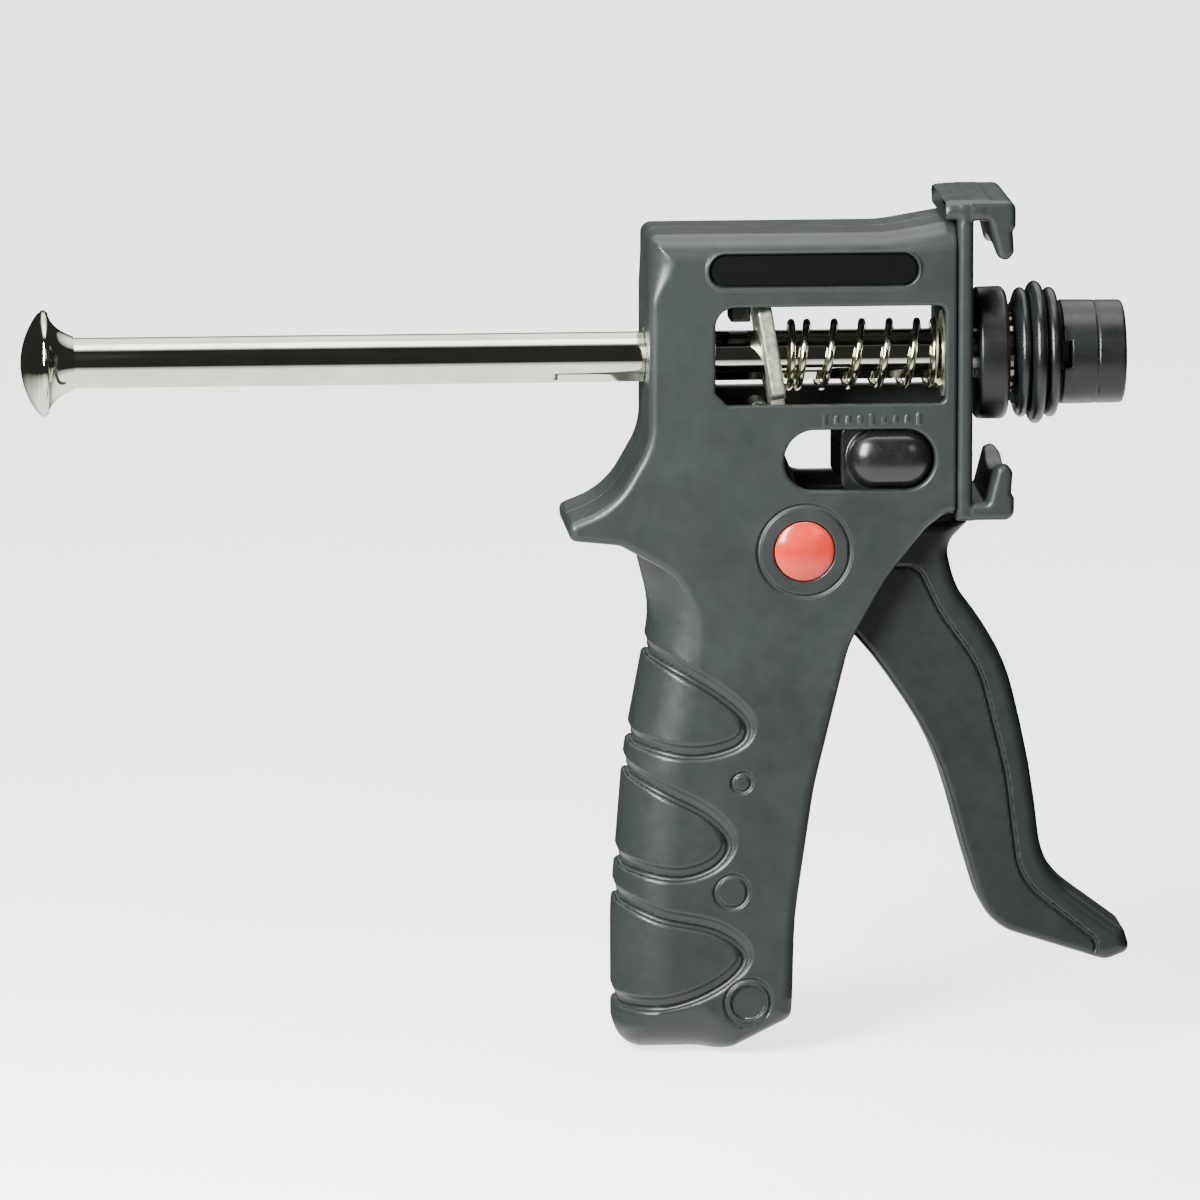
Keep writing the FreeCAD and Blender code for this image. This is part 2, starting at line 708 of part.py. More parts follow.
def save_pivot():
    sleeve = rod_y(BUSH_R, -TRIGGER_HALF, TRIGGER_HALF, PIVOT)
    save("trigger_bush", sleeve.cut(rod_y(PIN_R + RUN, -BIG, BIG, PIVOT)))
    reach = HALF - CAP_SINK
    save("pivot_pin", rod_y(PIN_R, -reach, reach, PIVOT))
    for name, side in (("pivot_cap_right", -1), ("pivot_cap_left", 1)):
        save(name, pivot_cap(side))


def pivot_cap(side):
    """Low domed cap over one end of the pivot pin."""
    dome_r = (CAP_R ** 2 + CAP_RISE ** 2) / (2 * CAP_RISE)
    crown = HALF + CAP_RISE
    ball = Part.makeSphere(dome_r, V(PIVOT[0], side * (crown - dome_r), PIVOT[1]))
    low, high = sorted((side * (HALF - CAP_SINK), side * (crown + PAST)))
    return rod_y(CAP_R, low, high, PIVOT).common(ball)


# ---------------------------------------------------------------- dose slider
def save_dose_slider():
    middle = ((DOSE_X[0] + DOSE_X[1]) / 2, (DOSE_Z[0] + DOSE_Z[1]) / 2)
    bar_at = (DOSE_BAR_X, middle[1])
    for name, side in (("dose_knob_right", -1), ("dose_knob_left", 1)):
        crown = side * (HALF + DOSE_RISE)
        low, high = sorted((side * FLANGE_Y[1], crown))
        knob = slab(rectangle(DOSE_X, DOSE_Z, DOSE_CORNER_R), HALF + DOSE_RISE)
        knob = knob.common(box((-BIG, BIG), (low, high), (-BIG, BIG)))
        rim = edges_near(knob, lambda spot: abs(spot.y - crown) < 0.01)
        knob = knob.makeFillet(DOSE_CROWN_R, rim)
        low, high = sorted((side * FLANGE_Y[0], side * FLANGE_Y[1]))
        flange_x = (DOSE_X[0] - FLANGE[0], DOSE_X[1] + FLANGE[0])
        flange_z = (DOSE_Z[0] - FLANGE[1], DOSE_Z[1] + FLANGE[1])
        flange = slab(rectangle(flange_x, flange_z, FLANGE_CORNER_R), HALF)
        flange = flange.common(box((-BIG, BIG), (low, high), (-BIG, BIG)))
        save(name, fuse(knob, flange))
    save("dose_bar", rod_y(DOSE_BAR_R, -FLANGE_Y[0], FLANGE_Y[0], bar_at))


os.makedirs("parts", exist_ok=True)
save_housing()
save_inlays()
save_screws()
save_holder()
save_rod()
save_guides()
save_plunger()
save_drive_plate()
save_spring()
save_trigger()
save_pivot()
save_dose_slider()
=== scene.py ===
"""Looks of the cartridge gun: moulded shells, turned parts, spring, materials, light and camera."""
import json
import math

import bmesh
import bpy
import numpy as np
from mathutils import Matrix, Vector


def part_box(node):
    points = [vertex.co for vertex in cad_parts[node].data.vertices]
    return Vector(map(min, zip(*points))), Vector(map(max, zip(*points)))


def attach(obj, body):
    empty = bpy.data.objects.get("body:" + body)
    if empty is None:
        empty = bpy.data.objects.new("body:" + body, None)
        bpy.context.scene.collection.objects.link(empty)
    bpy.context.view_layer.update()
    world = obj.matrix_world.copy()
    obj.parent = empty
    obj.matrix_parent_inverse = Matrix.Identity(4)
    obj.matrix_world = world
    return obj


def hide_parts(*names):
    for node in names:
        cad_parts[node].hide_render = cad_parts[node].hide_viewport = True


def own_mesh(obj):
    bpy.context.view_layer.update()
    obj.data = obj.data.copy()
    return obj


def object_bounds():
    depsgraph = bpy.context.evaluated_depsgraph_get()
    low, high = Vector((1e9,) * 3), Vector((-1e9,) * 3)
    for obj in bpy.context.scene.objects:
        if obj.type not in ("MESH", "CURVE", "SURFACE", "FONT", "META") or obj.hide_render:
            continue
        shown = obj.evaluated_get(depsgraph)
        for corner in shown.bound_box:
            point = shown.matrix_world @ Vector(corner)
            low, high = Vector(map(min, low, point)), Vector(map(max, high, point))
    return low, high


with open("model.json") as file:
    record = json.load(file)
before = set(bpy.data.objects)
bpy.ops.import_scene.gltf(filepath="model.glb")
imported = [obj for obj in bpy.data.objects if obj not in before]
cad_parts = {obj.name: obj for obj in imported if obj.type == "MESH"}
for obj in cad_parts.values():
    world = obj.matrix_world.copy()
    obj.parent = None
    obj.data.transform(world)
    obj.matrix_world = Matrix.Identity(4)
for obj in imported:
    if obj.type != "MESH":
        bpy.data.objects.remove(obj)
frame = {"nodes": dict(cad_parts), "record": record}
cad_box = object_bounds()

MM = 0.001

# -------------------- places in mm, read from the frame where it has them


def span(node):
    """Lowest and highest corner of a CAD node, in millimetres."""
    low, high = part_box(node)
    return np.array(low) / MM, np.array(high) / MM


HOUSING_LOW, HOUSING_HIGH = span("housing_left")
HALF = HOUSING_HIGH[1]
GRIP_BOTTOM_Z = HOUSING_LOW[2]
REAR_X = -64.6
TOP_Z = 25.9
FRONT_X = -3.2
HOLDER_LOW, HOLDER_HIGH = span("cartridge_holder")
WALL = 2.5
GRIP_WALL = 3.0
GRIP_HOLLOW_TOP = -58.0
BAY_HALF = HALF - WALL
BAY_X = (-61.8, 4.0)
BAY_Z = (-29.0, 23.0)
BLOCK_X = (-70.0, -53.0)  # solid round the rear guide
BLOCK_Z = (-11.0, 11.0)
STOP_X = (-47.6, -43.5)  # rib under the roof, behind the drive plate's top
STOP_Z = (7.2, 30.0)
STOP_HALF = 8.0
PIN_LOW, PIN_HIGH = span("pivot_pin")
PIVOT = ((PIN_LOW[0] + PIN_HIGH[0]) / 2, (PIN_LOW[2] + PIN_HIGH[2]) / 2)
PIN_R = 3.0
HUB_R = 8.0
CAP_LOW, CAP_HIGH = span("pivot_cap_left")
CAP_R = (CAP_HIGH[0] - CAP_LOW[0]) / 2
CAP_TOP = CAP_HIGH[1]
CAP_GAP = 0.08
RING_R = 9.2
WINDOW_X = (-51.4, -5.6)
WINDOW_Z = (-8.0, 11.7)
SLOT_X = (-37.6, -7.6)
SLOT_Z = (-25.3, -13.1)
PILL_X = (-52.6, -11.0)
PILL_Z = (15.75, 22.4)
PILL_DEPTH = 1.2
TRIGGER_HALF = span("trigger")[1][1]
SCREWS = [(-58.2, 18.6), (-58.2, -19.5), (-46.0, -84.1), (-48.0, -106.3), (-44.6, -128.9)]
BOSS_R = 3.7
HEAD_HOLE = (3.3, 5.8)  # radius and depth
MARKS = [(SCREWS[2], 1.9), (SCREWS[3], 3.3), (SCREWS[4], 4.6)]  # rings on the right half
DIMPLE = (3.5, 0.7)  # radius and depth of the hollow inside the last ring
MARK_R = 0.42  # half width of a ring's groove
ROD_HOLE_R = 5.6
ROD_HOLE_END = -50.0
GUIDE_R = 8.0
GUIDE_X = (REAR_X + 1.6, -52.0)
MECHANISM_R = 9.4  # round recess behind the holder
MECHANISM_REAR = -8.0


# -------------------- outlines
def unit(x, z):
    length = math.hypot(x, z)
    return x / length, z / length


ARC_STEP = 5.0  # degrees


def rounded(corners):
    """Closed outline through corners (x, z, radius)."""
    count = len(corners)
    points = []
    for i in range(count):
        before, here, after = corners[i - 1], corners[i], corners[(i + 1) % count]
        ax, az = unit(here[0] - before[0], here[1] - before[1])
        bx, bz = unit(after[0] - here[0], after[1] - here[1])
        turn = math.atan2(ax * bz - az * bx, ax * bx + az * bz)
        if here[2] <= 0 or abs(turn) < 1e-4:
            points.append((here[0], here[1]))
            continue
        back = here[2] * math.tan(abs(turn) / 2)
        side = 1 if turn > 0 else -1
        start = (here[0] - ax * back, here[1] - az * back)
        centre = (start[0] - side * az * here[2], start[1] + side * ax * here[2])
        first = math.atan2(start[1] - centre[1], start[0] - centre[0])
        pieces = max(2, math.ceil(abs(math.degrees(turn)) / ARC_STEP))
        for k in range(pieces + 1):
            angle = first + turn * k / pieces
            points.append((centre[0] + here[2] * math.cos(angle), centre[1] + here[2] * math.sin(angle)))
    return points


def rectangle(x, z, radius):
    """Corners of a rectangle from two spans."""
    return [(x[0], z[1], radius), (x[1], z[1], radius), (x[1], z[0], radius), (x[0], z[0], radius)]


def curve_through(points, per_span=8):
    """Smooth open curve through a few points."""
    p = [np.array(q, float) for q in points]
    p = [2 * p[0] - p[1]] + p + [2 * p[-1] - p[-2]]
    out = []
    for i in range(1, len(p) - 2):
        for k in range(per_span):
            t = k / per_span
            a, b, c, d = p[i - 1], p[i], p[i + 1], p[i + 2]
            out.append(0.5 * (2 * b + (c - a) * t + (2 * a - 5 * b + 4 * c - d) * t * t
                              + (3 * b - a - 3 * c + d) * t ** 3))
    out.append(p[-2])
    return [tuple(q) for q in out]


# -------------------- distance fields (mm, negative inside)
def outline_field(points):
    """Signed distance to a closed outline in the XZ plane."""
    ends = points[1:] + points[:1]

    def field(x, z):
        nearest = np.full(np.broadcast(x, z).shape, 1e9)
        inside = np.zeros(nearest.shape, bool)
        for (ax, az), (bx, bz) in zip(points, ends):
            ex, ez = bx - ax, bz - az
            size = ex * ex + ez * ez
            if size < 1e-12:
                continue
            wx, wz = x - ax, z - az
            t = np.clip((wx * ex + wz * ez) / size, 0, 1)
            nearest = np.minimum(nearest, (wx - t * ex) ** 2 + (wz - t * ez) ** 2)
            if ez != 0:
                inside ^= ((az > z) != (bz > z)) & (wx < ex * wz / ez)
        return np.where(inside, -1.0, 1.0) * np.sqrt(nearest)

    return field


def path_field(points):
    """Distance to an open path in the XZ plane."""

    def field(x, z):
        nearest = np.full(np.broadcast(x, z).shape, 1e9)
        for (ax, az), (bx, bz) in zip(points, points[1:]):
            ex, ez = bx - ax, bz - az
            wx, wz = x - ax, z - az
            t = np.clip((wx * ex + wz * ez) / (ex * ex + ez * ez), 0, 1)
            nearest = np.minimum(nearest, (wx - t * ex) ** 2 + (wz - t * ez) ** 2)
        return np.sqrt(nearest)

    return field


def cubic_shares(t):
    """Weights of four neighbours in a row, at a place t (0 to 1) between the middle two."""
    return (((2 - t) * t - 1) * t / 2, ((3 * t - 5) * t * t + 2) / 2, ((4 - 3 * t) * t + 1) * t / 2,
            (t - 1) * t * t / 2)


def tabled(field, x_span, z_span, pitch=0.3):
    """The same flat field, read smoothly from a fine table, which is much quicker."""
    xs = np.arange(x_span[0] - 2 * pitch, x_span[1] + 3 * pitch, pitch)
    zs = np.arange(z_span[0] - 2 * pitch, z_span[1] + 3 * pitch, pitch)
    values = field(xs[:, None], zs[None, :])

    def look(x, z):
        u = np.clip((x - xs[0]) / pitch, 1, len(xs) - 3)
        v = np.clip((z - zs[0]) / pitch, 1, len(zs) - 3)
        i, j = u.astype(int), v.astype(int)
        total = 0.0
        for a, share_x in enumerate(cubic_shares(u - i)):
            for b, share_z in enumerate(cubic_shares(v - j)):
                total = total + share_x * share_z * values[i + a - 1, j + b - 1]
        return total

    return look


def both(a, b, r=0.0):
    """Inside both fields, with an outside edge rounded by r."""
    if np.isscalar(r) and r <= 0:
        return np.maximum(a, b)
    p, q = a + r, b + r
    outside = np.sqrt(np.maximum(p, 0) ** 2 + np.maximum(q, 0) ** 2)
    return outside + np.minimum(np.maximum(p, q), 0) - r


def either(a, b, r):
    """Inside either field, with the inner corner filled by r."""
    return -both(-a, -b, r)


def without(a, b, r=0.0):
    """Inside a and not inside b."""
    return both(a, -b, r)


def between(value, low, high):
    """Inside the stretch from low to high."""
    return np.maximum(low - value, value - high)


def ramp(value, low, high):
    """0 below low, 1 above high, smooth between."""
    t = np.clip((value - low) / (high - low), 0, 1)
    return t * t * (3 - 2 * t)


# -------------------- meshes
def tidy_normals(field, points, reach=0.06):
    """Unit gradient of a field, and its value."""
    x, y, z = points.T
    steps = np.array([(1, -1, -1), (-1, -1, 1), (-1, 1, -1), (1, 1, 1)], float)
    total = np.zeros_like(points)
    mean = np.zeros(len(points))
    for s in steps:
        value = field(x + s[0] * reach, y + s[1] * reach, z + s[2] * reach)
        total += s[None, :] * value[:, None]
        mean += value / 4
    slope = total / (4 * reach)
    size = np.maximum(np.linalg.norm(slope, axis=1), 1e-6)
    return slope / size[:, None], mean / size


def graded(low, high, cell, zones):
    """Grid lines from low to high, closer together inside each (low, high, cell) zone."""
    lines = [low]
    while lines[-1] < high:
        sizes = [size for start, end, size in zones if start <= lines[-1] < end]
        lines.append(lines[-1] + min([cell] + sizes))
    return np.array(lines)


PULLS = 2


def skin(field, axes, cell):
    """Quads over a field's zero surface: one vertex per crossed cell, then pulled onto the surface."""
    count = np.array([len(lines) for lines in axes])
    values = field(axes[0][:, None, None], axes[1][None, :, None], axes[2][None, None, :])
    values = np.ascontiguousarray(np.broadcast_to(values, tuple(count)))
    solid = values < 0
    shape = tuple(count - 1)
    weight = np.zeros(shape)
    centre = np.zeros(shape + (3,))
    near_or_far = (slice(0, -1), slice(1, None))
    for axis in range(3):
        others = [i for i in range(3) if i != axis]
        for first in range(2):
            for second in range(2):
                a = [near_or_far[0]] * 3
                a[others[0]] = near_or_far[first]
                a[others[1]] = near_or_far[second]
                b = list(a)
                b[axis] = near_or_far[1]
                va, vb = values[tuple(a)], values[tuple(b)]
                crossed = (va < 0) != (vb < 0)
                t = np.where(crossed, va / np.where(crossed, va - vb, 1), 0)
                weight += crossed
                centre[..., axis] += np.where(crossed, t, 0)
                centre[..., others[0]] += crossed * first
                centre[..., others[1]] += crossed * second
    used = weight > 0
    index = np.full(shape, -1)
    index[used] = np.arange(used.sum())
    cells = np.argwhere(used)
    inside = centre[used] / weight[used][:, None]
    points = np.empty(cells.shape)
    for axis, lines in enumerate(axes):
        start = lines[cells[:, axis]]
        points[:, axis] = start + (lines[cells[:, axis] + 1] - start) * inside[:, axis]
    quads = []
    for axis in range(3):
        u, v = [i for i in range(3) if i != axis]
        inner = [slice(None)] * 3
        inner[u], inner[v] = slice(1, -1), slice(1, -1)
        here, there = list(inner), list(inner)
        here[axis], there[axis] = slice(0, -1), slice(1, None)
        a, b = solid[tuple(here)], solid[tuple(there)]
        spots = np.argwhere(a != b)
        flip = b[tuple(spots.T)]
        spots[:, u] += 1
        spots[:, v] += 1
        corners = []
        for du, dv in ((0, 0), (-1, 0), (-1, -1), (0, -1)):
            at = spots.copy()
            at[:, u] += du
            at[:, v] += dv
            corners.append(index[tuple(at.T)])
        quad = np.stack(corners, 1)
        if axis == 1:
            flip = ~flip
        quad[flip] = quad[flip][:, ::-1]
        quads.append(quad)
    quads = np.concatenate(quads)
    for _ in range(PULLS):
        normal, value = tidy_normals(field, points)
        points = points - normal * np.clip(value, -cell, cell)[:, None]
    return points, quads


def add_mesh(name, points, faces, normals=None):
    """Smooth-shaded object from points in millimetres."""
    mesh = bpy.data.meshes.new(name)
    mesh.from_pydata((np.asarray(points) * MM).tolist(), [], [list(map(int, f)) for f in faces])
    mesh.update()
    mesh.polygons.foreach_set("use_smooth", [True] * len(mesh.polygons))
    if normals is not None:
        mesh.normals_split_custom_set_from_vertices(np.asarray(normals).tolist())
    piece = bpy.data.objects.new(name, mesh)
    bpy.context.collection.objects.link(piece)
    return piece


def field_piece(name, field, low, high, cell, zones=((), (), ())):
    """Piece whose surface is a field's zero level; zones list the finer stretches along x, y and z."""
    axes = [graded(low[i], high[i], cell, zones[i]) for i in range(3)]
    points, quads = skin(field, axes, cell)
    normals, _ = tidy_normals(field, points, 0.1)
    return add_mesh(name, points, quads, normals)


def arc_points(centre, radius, first, last, pieces):
    """Points on an arc between two angles in degrees."""
    out = []
    for k in range(pieces + 1):
        angle = math.radians(first + (last - first) * k / pieces)
        out.append((centre[0] + radius * math.cos(angle), centre[1] + radius * math.sin(angle)))
    return out


def soften(profile, radius, pieces=4):
    """Round each inner corner of an open (x, r) profile."""
    out = [profile[0]]
    for before, here, after in zip(profile, profile[1:], profile[2:]):
        a = np.array(here, float) - before
        b = np.array(after, float) - here
        cut = min(radius, np.linalg.norm(a) * 0.45, np.linalg.norm(b) * 0.45)
        start = here - a / np.linalg.norm(a) * cut
        end = here + b / np.linalg.norm(b) * cut
        for k in range(pieces + 1):
            t = k / pieces
            out.append(tuple((1 - t) ** 2 * start + 2 * t * (1 - t) * np.array(here) + t * t * end))
    out.append(profile[-1])
    return out


def lathe(name, profile, turns=128, closed=True, bend=None):
    """Piece turned about the rod's axis from (x, r) points; bend moves points before they are used."""
    points = []
    faces = []
    count = len(profile)
    for x, r in profile:
        for k in range(turns):
            angle = 2 * math.pi * k / turns
            points.append((x, r * math.cos(angle), r * math.sin(angle)))
    rows = range(count if closed else count - 1)
    for i in rows:
        j = (i + 1) % count
        for k in range(turns):
            m = (k + 1) % turns
            faces.append((i * turns + k, j * turns + k, j * turns + m, i * turns + m))
    points = np.array(points)
    if bend is not None:
        points = bend(points)
    piece = add_mesh(name, points, faces)
    weld(piece)
    return piece


def weld(piece):
    """Join doubled points, drop faces with no area, and face outwards."""
    mesh = bmesh.new()
    mesh.from_mesh(piece.data)
    bmesh.ops.remove_doubles(mesh, verts=mesh.verts, dist=1e-7)
    bmesh.ops.dissolve_degenerate(mesh, edges=mesh.edges, dist=1e-7)
    bmesh.ops.recalc_face_normals(mesh, faces=mesh.faces)
    mesh.to_mesh(piece.data)
    mesh.free()
    piece.data.polygons.foreach_set("use_smooth", [True] * len(piece.data.polygons))


def crease(piece, degrees):
    """Keep edges sharper than this angle crisp."""
    piece.data.set_sharp_from_angle(angle=math.radians(degrees))


# -------------------- housing
BODY = rounded([
    (REAR_X, TOP_Z, 2.2),
    (-17.0, TOP_Z, 25.0),
    (6.0, 29.8, 0),
    (6.0, -30.3, 0),
    (-5.6, -30.3, 3.0),
    (-9.4, -33.4, 6.0),
    (-17.2, -43.4, 30.0),
    (-24.3, -56.2, 20.0),
    (-27.0, -66.0, 0),
    (-53.2, -66.0, 0),
    (-54.4, -53.8, 14.0),
    (-59.0, -42.4, 12.0),
    (-70.4, -36.0, 4.0),
    (-80.3, -35.0, 1.5),
    (-80.7, -31.6, 1.5),
    (-71.6, -28.0, 16.0),
    (REAR_X, -15.6, 14.0),
])
GRIP = rounded([
    (-67.5, -34.0, 4.0),
    (-22.0, -34.0, 0),
    (-24.5, -57.0, 30.0),
    (-31.4, -85.5, 70.0),
    (-35.2, -112.0, 80.0),
    (-35.7, -132.6, 2.4),
    (-49.5, GRIP_BOTTOM_Z, 12.0),
    (-71.0, GRIP_BOTTOM_Z, 6.0),
    (-71.1, -112.0, 60.0),
    (-68.6, -80.0, 90.0),
    (-63.2, -51.0, 22.0),
])
BANDS = [
    [(-84.0, -49.5), (-67.6, -56.9), (-59.3, -60.6), (-51.0, -65.6), (-45.2, -71.2), (-46.6, -75.8),
     (-55.0, -78.0), (-66.0, -76.4), (-84.0, -72.5)],
    [(-84.0, -76.0), (-68.5, -82.4), (-61.2, -85.8), (-53.0, -90.2), (-48.6, -95.4), (-51.0, -100.2),
     (-58.0, -102.7), (-68.0, -101.4), (-84.0, -98.0)],
    [(-84.0, -104.5), (-70.3, -108.2), (-61.8, -111.2), (-51.0, -113.8), (-45.4, -118.6), (-48.4, -123.6),
     (-56.5, -127.9), (-66.0, -129.4), (-84.0, -129.0)],
]
MOUTH_GAP = 0.6  # beside the trigger, on each side
MOUTH = rounded([
    (-50.0, -28.0, 0),
    (8.0, -28.0, 0),
    (8.0, -48.0, 0),
    (-16.0, -75.0, 0),
    (-33.0, -75.0, 3.0),
    (-47.0, -50.0, 6.0),
])
WINDOW = rounded([
    (WINDOW_X[0], WINDOW_Z[1], 4.0),
    (WINDOW_X[1], WINDOW_Z[1], 1.5),
    (WINDOW_X[1], WINDOW_Z[0], 1.2),
    (WINDOW_X[0] + 2.4, WINDOW_Z[0], 1.0),
    (WINDOW_X[0], WINDOW_Z[0] + 2.4, 1.0),
])
SLOT = rounded(rectangle(SLOT_X, SLOT_Z, 6.0))
PILL = rounded(rectangle(PILL_X, PILL_Z, 3.2))
LIP_AT, LIP_R = 0.35, 0.32  # raised edge round the recess
GROOVE_R = 1.9
GROOVE_SINK = 0.9
SLIT_R = 0.55  # fine slit low in each groove
SLIT_DOWN = 0.85
SLIT_SINK = 0.75
HOUSING_X = (-86.0, 8.0)
HOUSING_Z = (-142.0, 32.0)


def housing_2d(points):
    """Flat field of an outline, read from a table that covers the housing."""
    return tabled(outline_field(points), HOUSING_X, HOUSING_Z)


body_2d = housing_2d(BODY)
grip_2d = housing_2d(GRIP)
mouth_2d = housing_2d(MOUTH)
window_2d = housing_2d(WINDOW)
slot_2d = housing_2d(SLOT)
pill_2d = housing_2d(PILL)
bands_2d = [tabled(path_field(curve_through(band)), HOUSING_X, HOUSING_Z, 0.2) for band in BANDS]
TICK_FIRST_X, TICK_PITCH = -29.6, 2.35
TICKS = [(TICK_FIRST_X + TICK_PITCH * k, 0.8 if k % 4 else 1.2) for k in range(9)]  # x and half height
TICK_Z = -11.0
TICK_HALF = 0.4
TICK_RISE = 0.18
INWARD = 4.0  # the windows' cutters start this far from the middle plane


def disc_2d(x, z, at, radius):
    """Round bar across the gun."""
    return np.hypot(x - at[0], z - at[1]) - radius


def box_2d(x, z, x_span, z_span):
    """Square bar across the gun."""
    return np.maximum(between(x, *x_span), between(z, *z_span))


def grip_rounding(x, z):
    """Edge radius of the grip: large round its back, smaller towards the front and the base."""
    back = 1.0 - ramp(x, -56.0, -44.0)
    low = 1.0 - ramp(z, -133.0, -122.0)
    return np.maximum(2.4 + 9.2 * back, 4.0 * low)


def outer_field(x, y, z):
    """Outer shape of both halves together, with the grip's finger grooves."""
    side = np.abs(y) - HALF
    body = both(body_2d(x, z), side, 1.7 + 3.9 * ramp(z, 12.0, 21.0))
    grip = both(grip_2d(x, z), side, grip_rounding(x, z))
    plain = np.minimum(body, grip)
    shape = plain
    for band in bands_2d:
        groove = np.hypot(band(x, z), plain - GROOVE_R + GROOVE_SINK) - GROOVE_R
        slit = np.hypot(band(x, z + SLIT_DOWN), plain + SLIT_SINK) - SLIT_R
        shape = without(without(shape, groove, 0.35), slit, 0.12)
    return both(shape, x - (FRONT_X - 0.05), 0.7)


def inner_field(x, y, z):
    """Hollow inside the halves."""
    size = np.abs(y)
    bay = both(box_2d(x, z, BAY_X, BAY_Z), size - BAY_HALF, 0.8)
    block = np.maximum(box_2d(x, z, BLOCK_X, BLOCK_Z), size - HALF)
    stop = np.maximum(box_2d(x, z, STOP_X, STOP_Z), size - STOP_HALF)
    bay = without(without(bay, block), stop, 0.3)
    rounding = np.maximum(grip_rounding(x, z) - GRIP_WALL, 1.0)
    grip = both(grip_2d(x, z) + GRIP_WALL, size - HALF + GRIP_WALL, rounding)
    grip = both(grip, z - GRIP_HOLLOW_TOP, 1.0)
    mouth = both(mouth_2d(x, z), size - TRIGGER_HALF - MOUTH_GAP, 0.5)
    return np.minimum(np.minimum(bay, grip), mouth)


def add_posts(shape, outer, x, z, size):
    """Screw posts and the ears beside the trigger's hub."""
    for at in SCREWS:
        post = np.maximum(disc_2d(x, z, at, BOSS_R), between(size, 0, BAY_HALF))
        shape = either(shape, np.maximum(post, outer + 0.5), 0.4)
    ear = np.maximum(disc_2d(x, z, PIVOT, HUB_R), between(size, TRIGGER_HALF + 0.3, BAY_HALF))
    return either(shape, ear, 0.3)


def cut_side(shape, x, z, size):
    """Window, slot, recess with its raised edge, ring and seat of the cap, hole for the pin."""
    shape = without(shape, both(window_2d(x, z), INWARD - size), 0.55)
    shape = without(shape, both(slot_2d(x, z), INWARD - size), 0.7)
    pill = pill_2d(x, z)
    shape = either(shape, np.hypot(pill - LIP_AT, size - HALF) - LIP_R, 0.3)
    shape = without(shape, both(pill, HALF - PILL_DEPTH - size, 0.2), 0.25)
    ring = np.hypot(disc_2d(x, z, PIVOT, RING_R), size - HALF) - MARK_R
    shape = without(shape, ring, 0.12)
    shape = without(shape, both(disc_2d(x, z, PIVOT, CAP_R + CAP_GAP), HALF - 1.0 - size), 0.35)
    return without(shape, disc_2d(x, z, PIVOT, PIN_R), 0.1)


def add_ticks(shape, x, z, size):
    """Row of small raised ticks over the slot."""
    for at, tall in TICKS:
        tick = np.maximum(np.abs(x - at) - TICK_HALF, np.abs(z - TICK_Z) - tall)
        shape = either(shape, both(tick, between(size, HALF - 1.0, HALF + TICK_RISE), 0.15), 0.15)
    return shape


def cut_rod_bore(shape, x, z, size):
    """Hole for the rod, room for the rear guide and recess behind the holder."""
    r = np.hypot(size, z)
    shape = without(shape, np.maximum(r - ROD_HOLE_R, x - ROD_HOLE_END), 0.4)
    shape = without(shape, np.maximum(r - GUIDE_R, between(x, *GUIDE_X)))
    return without(shape, np.maximum(r - MECHANISM_R, MECHANISM_REAR - x), 0.2)


PARTING_GAP = 0.04


def housing_field(sign):
    """One half: sign 1 is the left, with the screw holes, and -1 the right, with ring marks."""

    def field(x, y, z):
        outer = outer_field(x, y, z)
        size = np.abs(y)
        shape = without(outer, inner_field(x, y, z), 0.2)
        shape = add_posts(shape, outer, x, z, size)
        shape = cut_side(shape, x, z, size)
        shape = add_ticks(shape, x, z, size)
        shape = cut_rod_bore(shape, x, z, size)
        if sign > 0:
            for at in SCREWS:
                hole = both(disc_2d(x, z, at, HEAD_HOLE[0]), HALF - HEAD_HOLE[1] - size)
                shape = without(shape, hole, 0.35)
        else:
            for at, radius in MARKS:
                mark = np.hypot(disc_2d(x, z, at, radius), size - HALF) - MARK_R
                shape = without(shape, mark, 0.15)
            hollow = both(disc_2d(x, z, MARKS[-1][0], DIMPLE[0]), HALF - DIMPLE[1] - size)
            shape = without(shape, hollow, 0.3)
        return both(shape, PARTING_GAP - sign * y, 0.3)

    return field


HOUSING_CELL = 0.62
GRIP_CELL = 0.44
FACE_CELL = 0.38


def make_housing():
    x_zones = ((-73.0, -44.5, GRIP_CELL), (-44.5, -5.0, FACE_CELL))
    z_zones = ((-131.0, -48.5, GRIP_CELL), (-48.5, 29.0, FACE_CELL))
    for name, sign in (("housing_right", -1), ("housing_left", 1)):
        y_span = sorted((sign * (HALF + 1.1), -sign * 1.2))
        y_zone = sorted((sign * (HALF + 0.5), sign * (HALF - 1.4)))
        zones = (x_zones, ((y_zone[0], y_zone[1], FACE_CELL),), z_zones)
        low = (HOUSING_X[0] + 4.0, y_span[0], HOUSING_Z[0] + 1.0)
        high = (FRONT_X + 1.7, y_span[1], HOUSING_Z[1] - 1.0)
        piece = field_piece(name + "_shell", housing_field(sign), low, high, HOUSING_CELL, zones)
        finish(piece, "frame", "housing_plastic", plastic, name)


INLAY_GAP = 0.25
INLAY_THICK = 0.8


def make_inlays():
    floor = HALF - PILL_DEPTH
    for name, sign in (("inlay_right", -1), ("inlay_left", 1)):

        def field(x, y, z, sign=sign):
            return both(pill_2d(x, z) + INLAY_GAP, between(sign * y, floor + 0.02, floor + INLAY_THICK), 0.25)

        y_span = sorted((sign * (floor - 0.6), sign * (floor + 1.4)))
        low = (PILL_X[0] - 1, y_span[0], PILL_Z[0] - 1)
        high = (PILL_X[1] + 1, y_span[1], PILL_Z[1] + 1)
        piece = field_piece(name + "_panel", field, low, high, 0.33)
        finish(piece, "frame", "inlay_plastic", inlay, name)


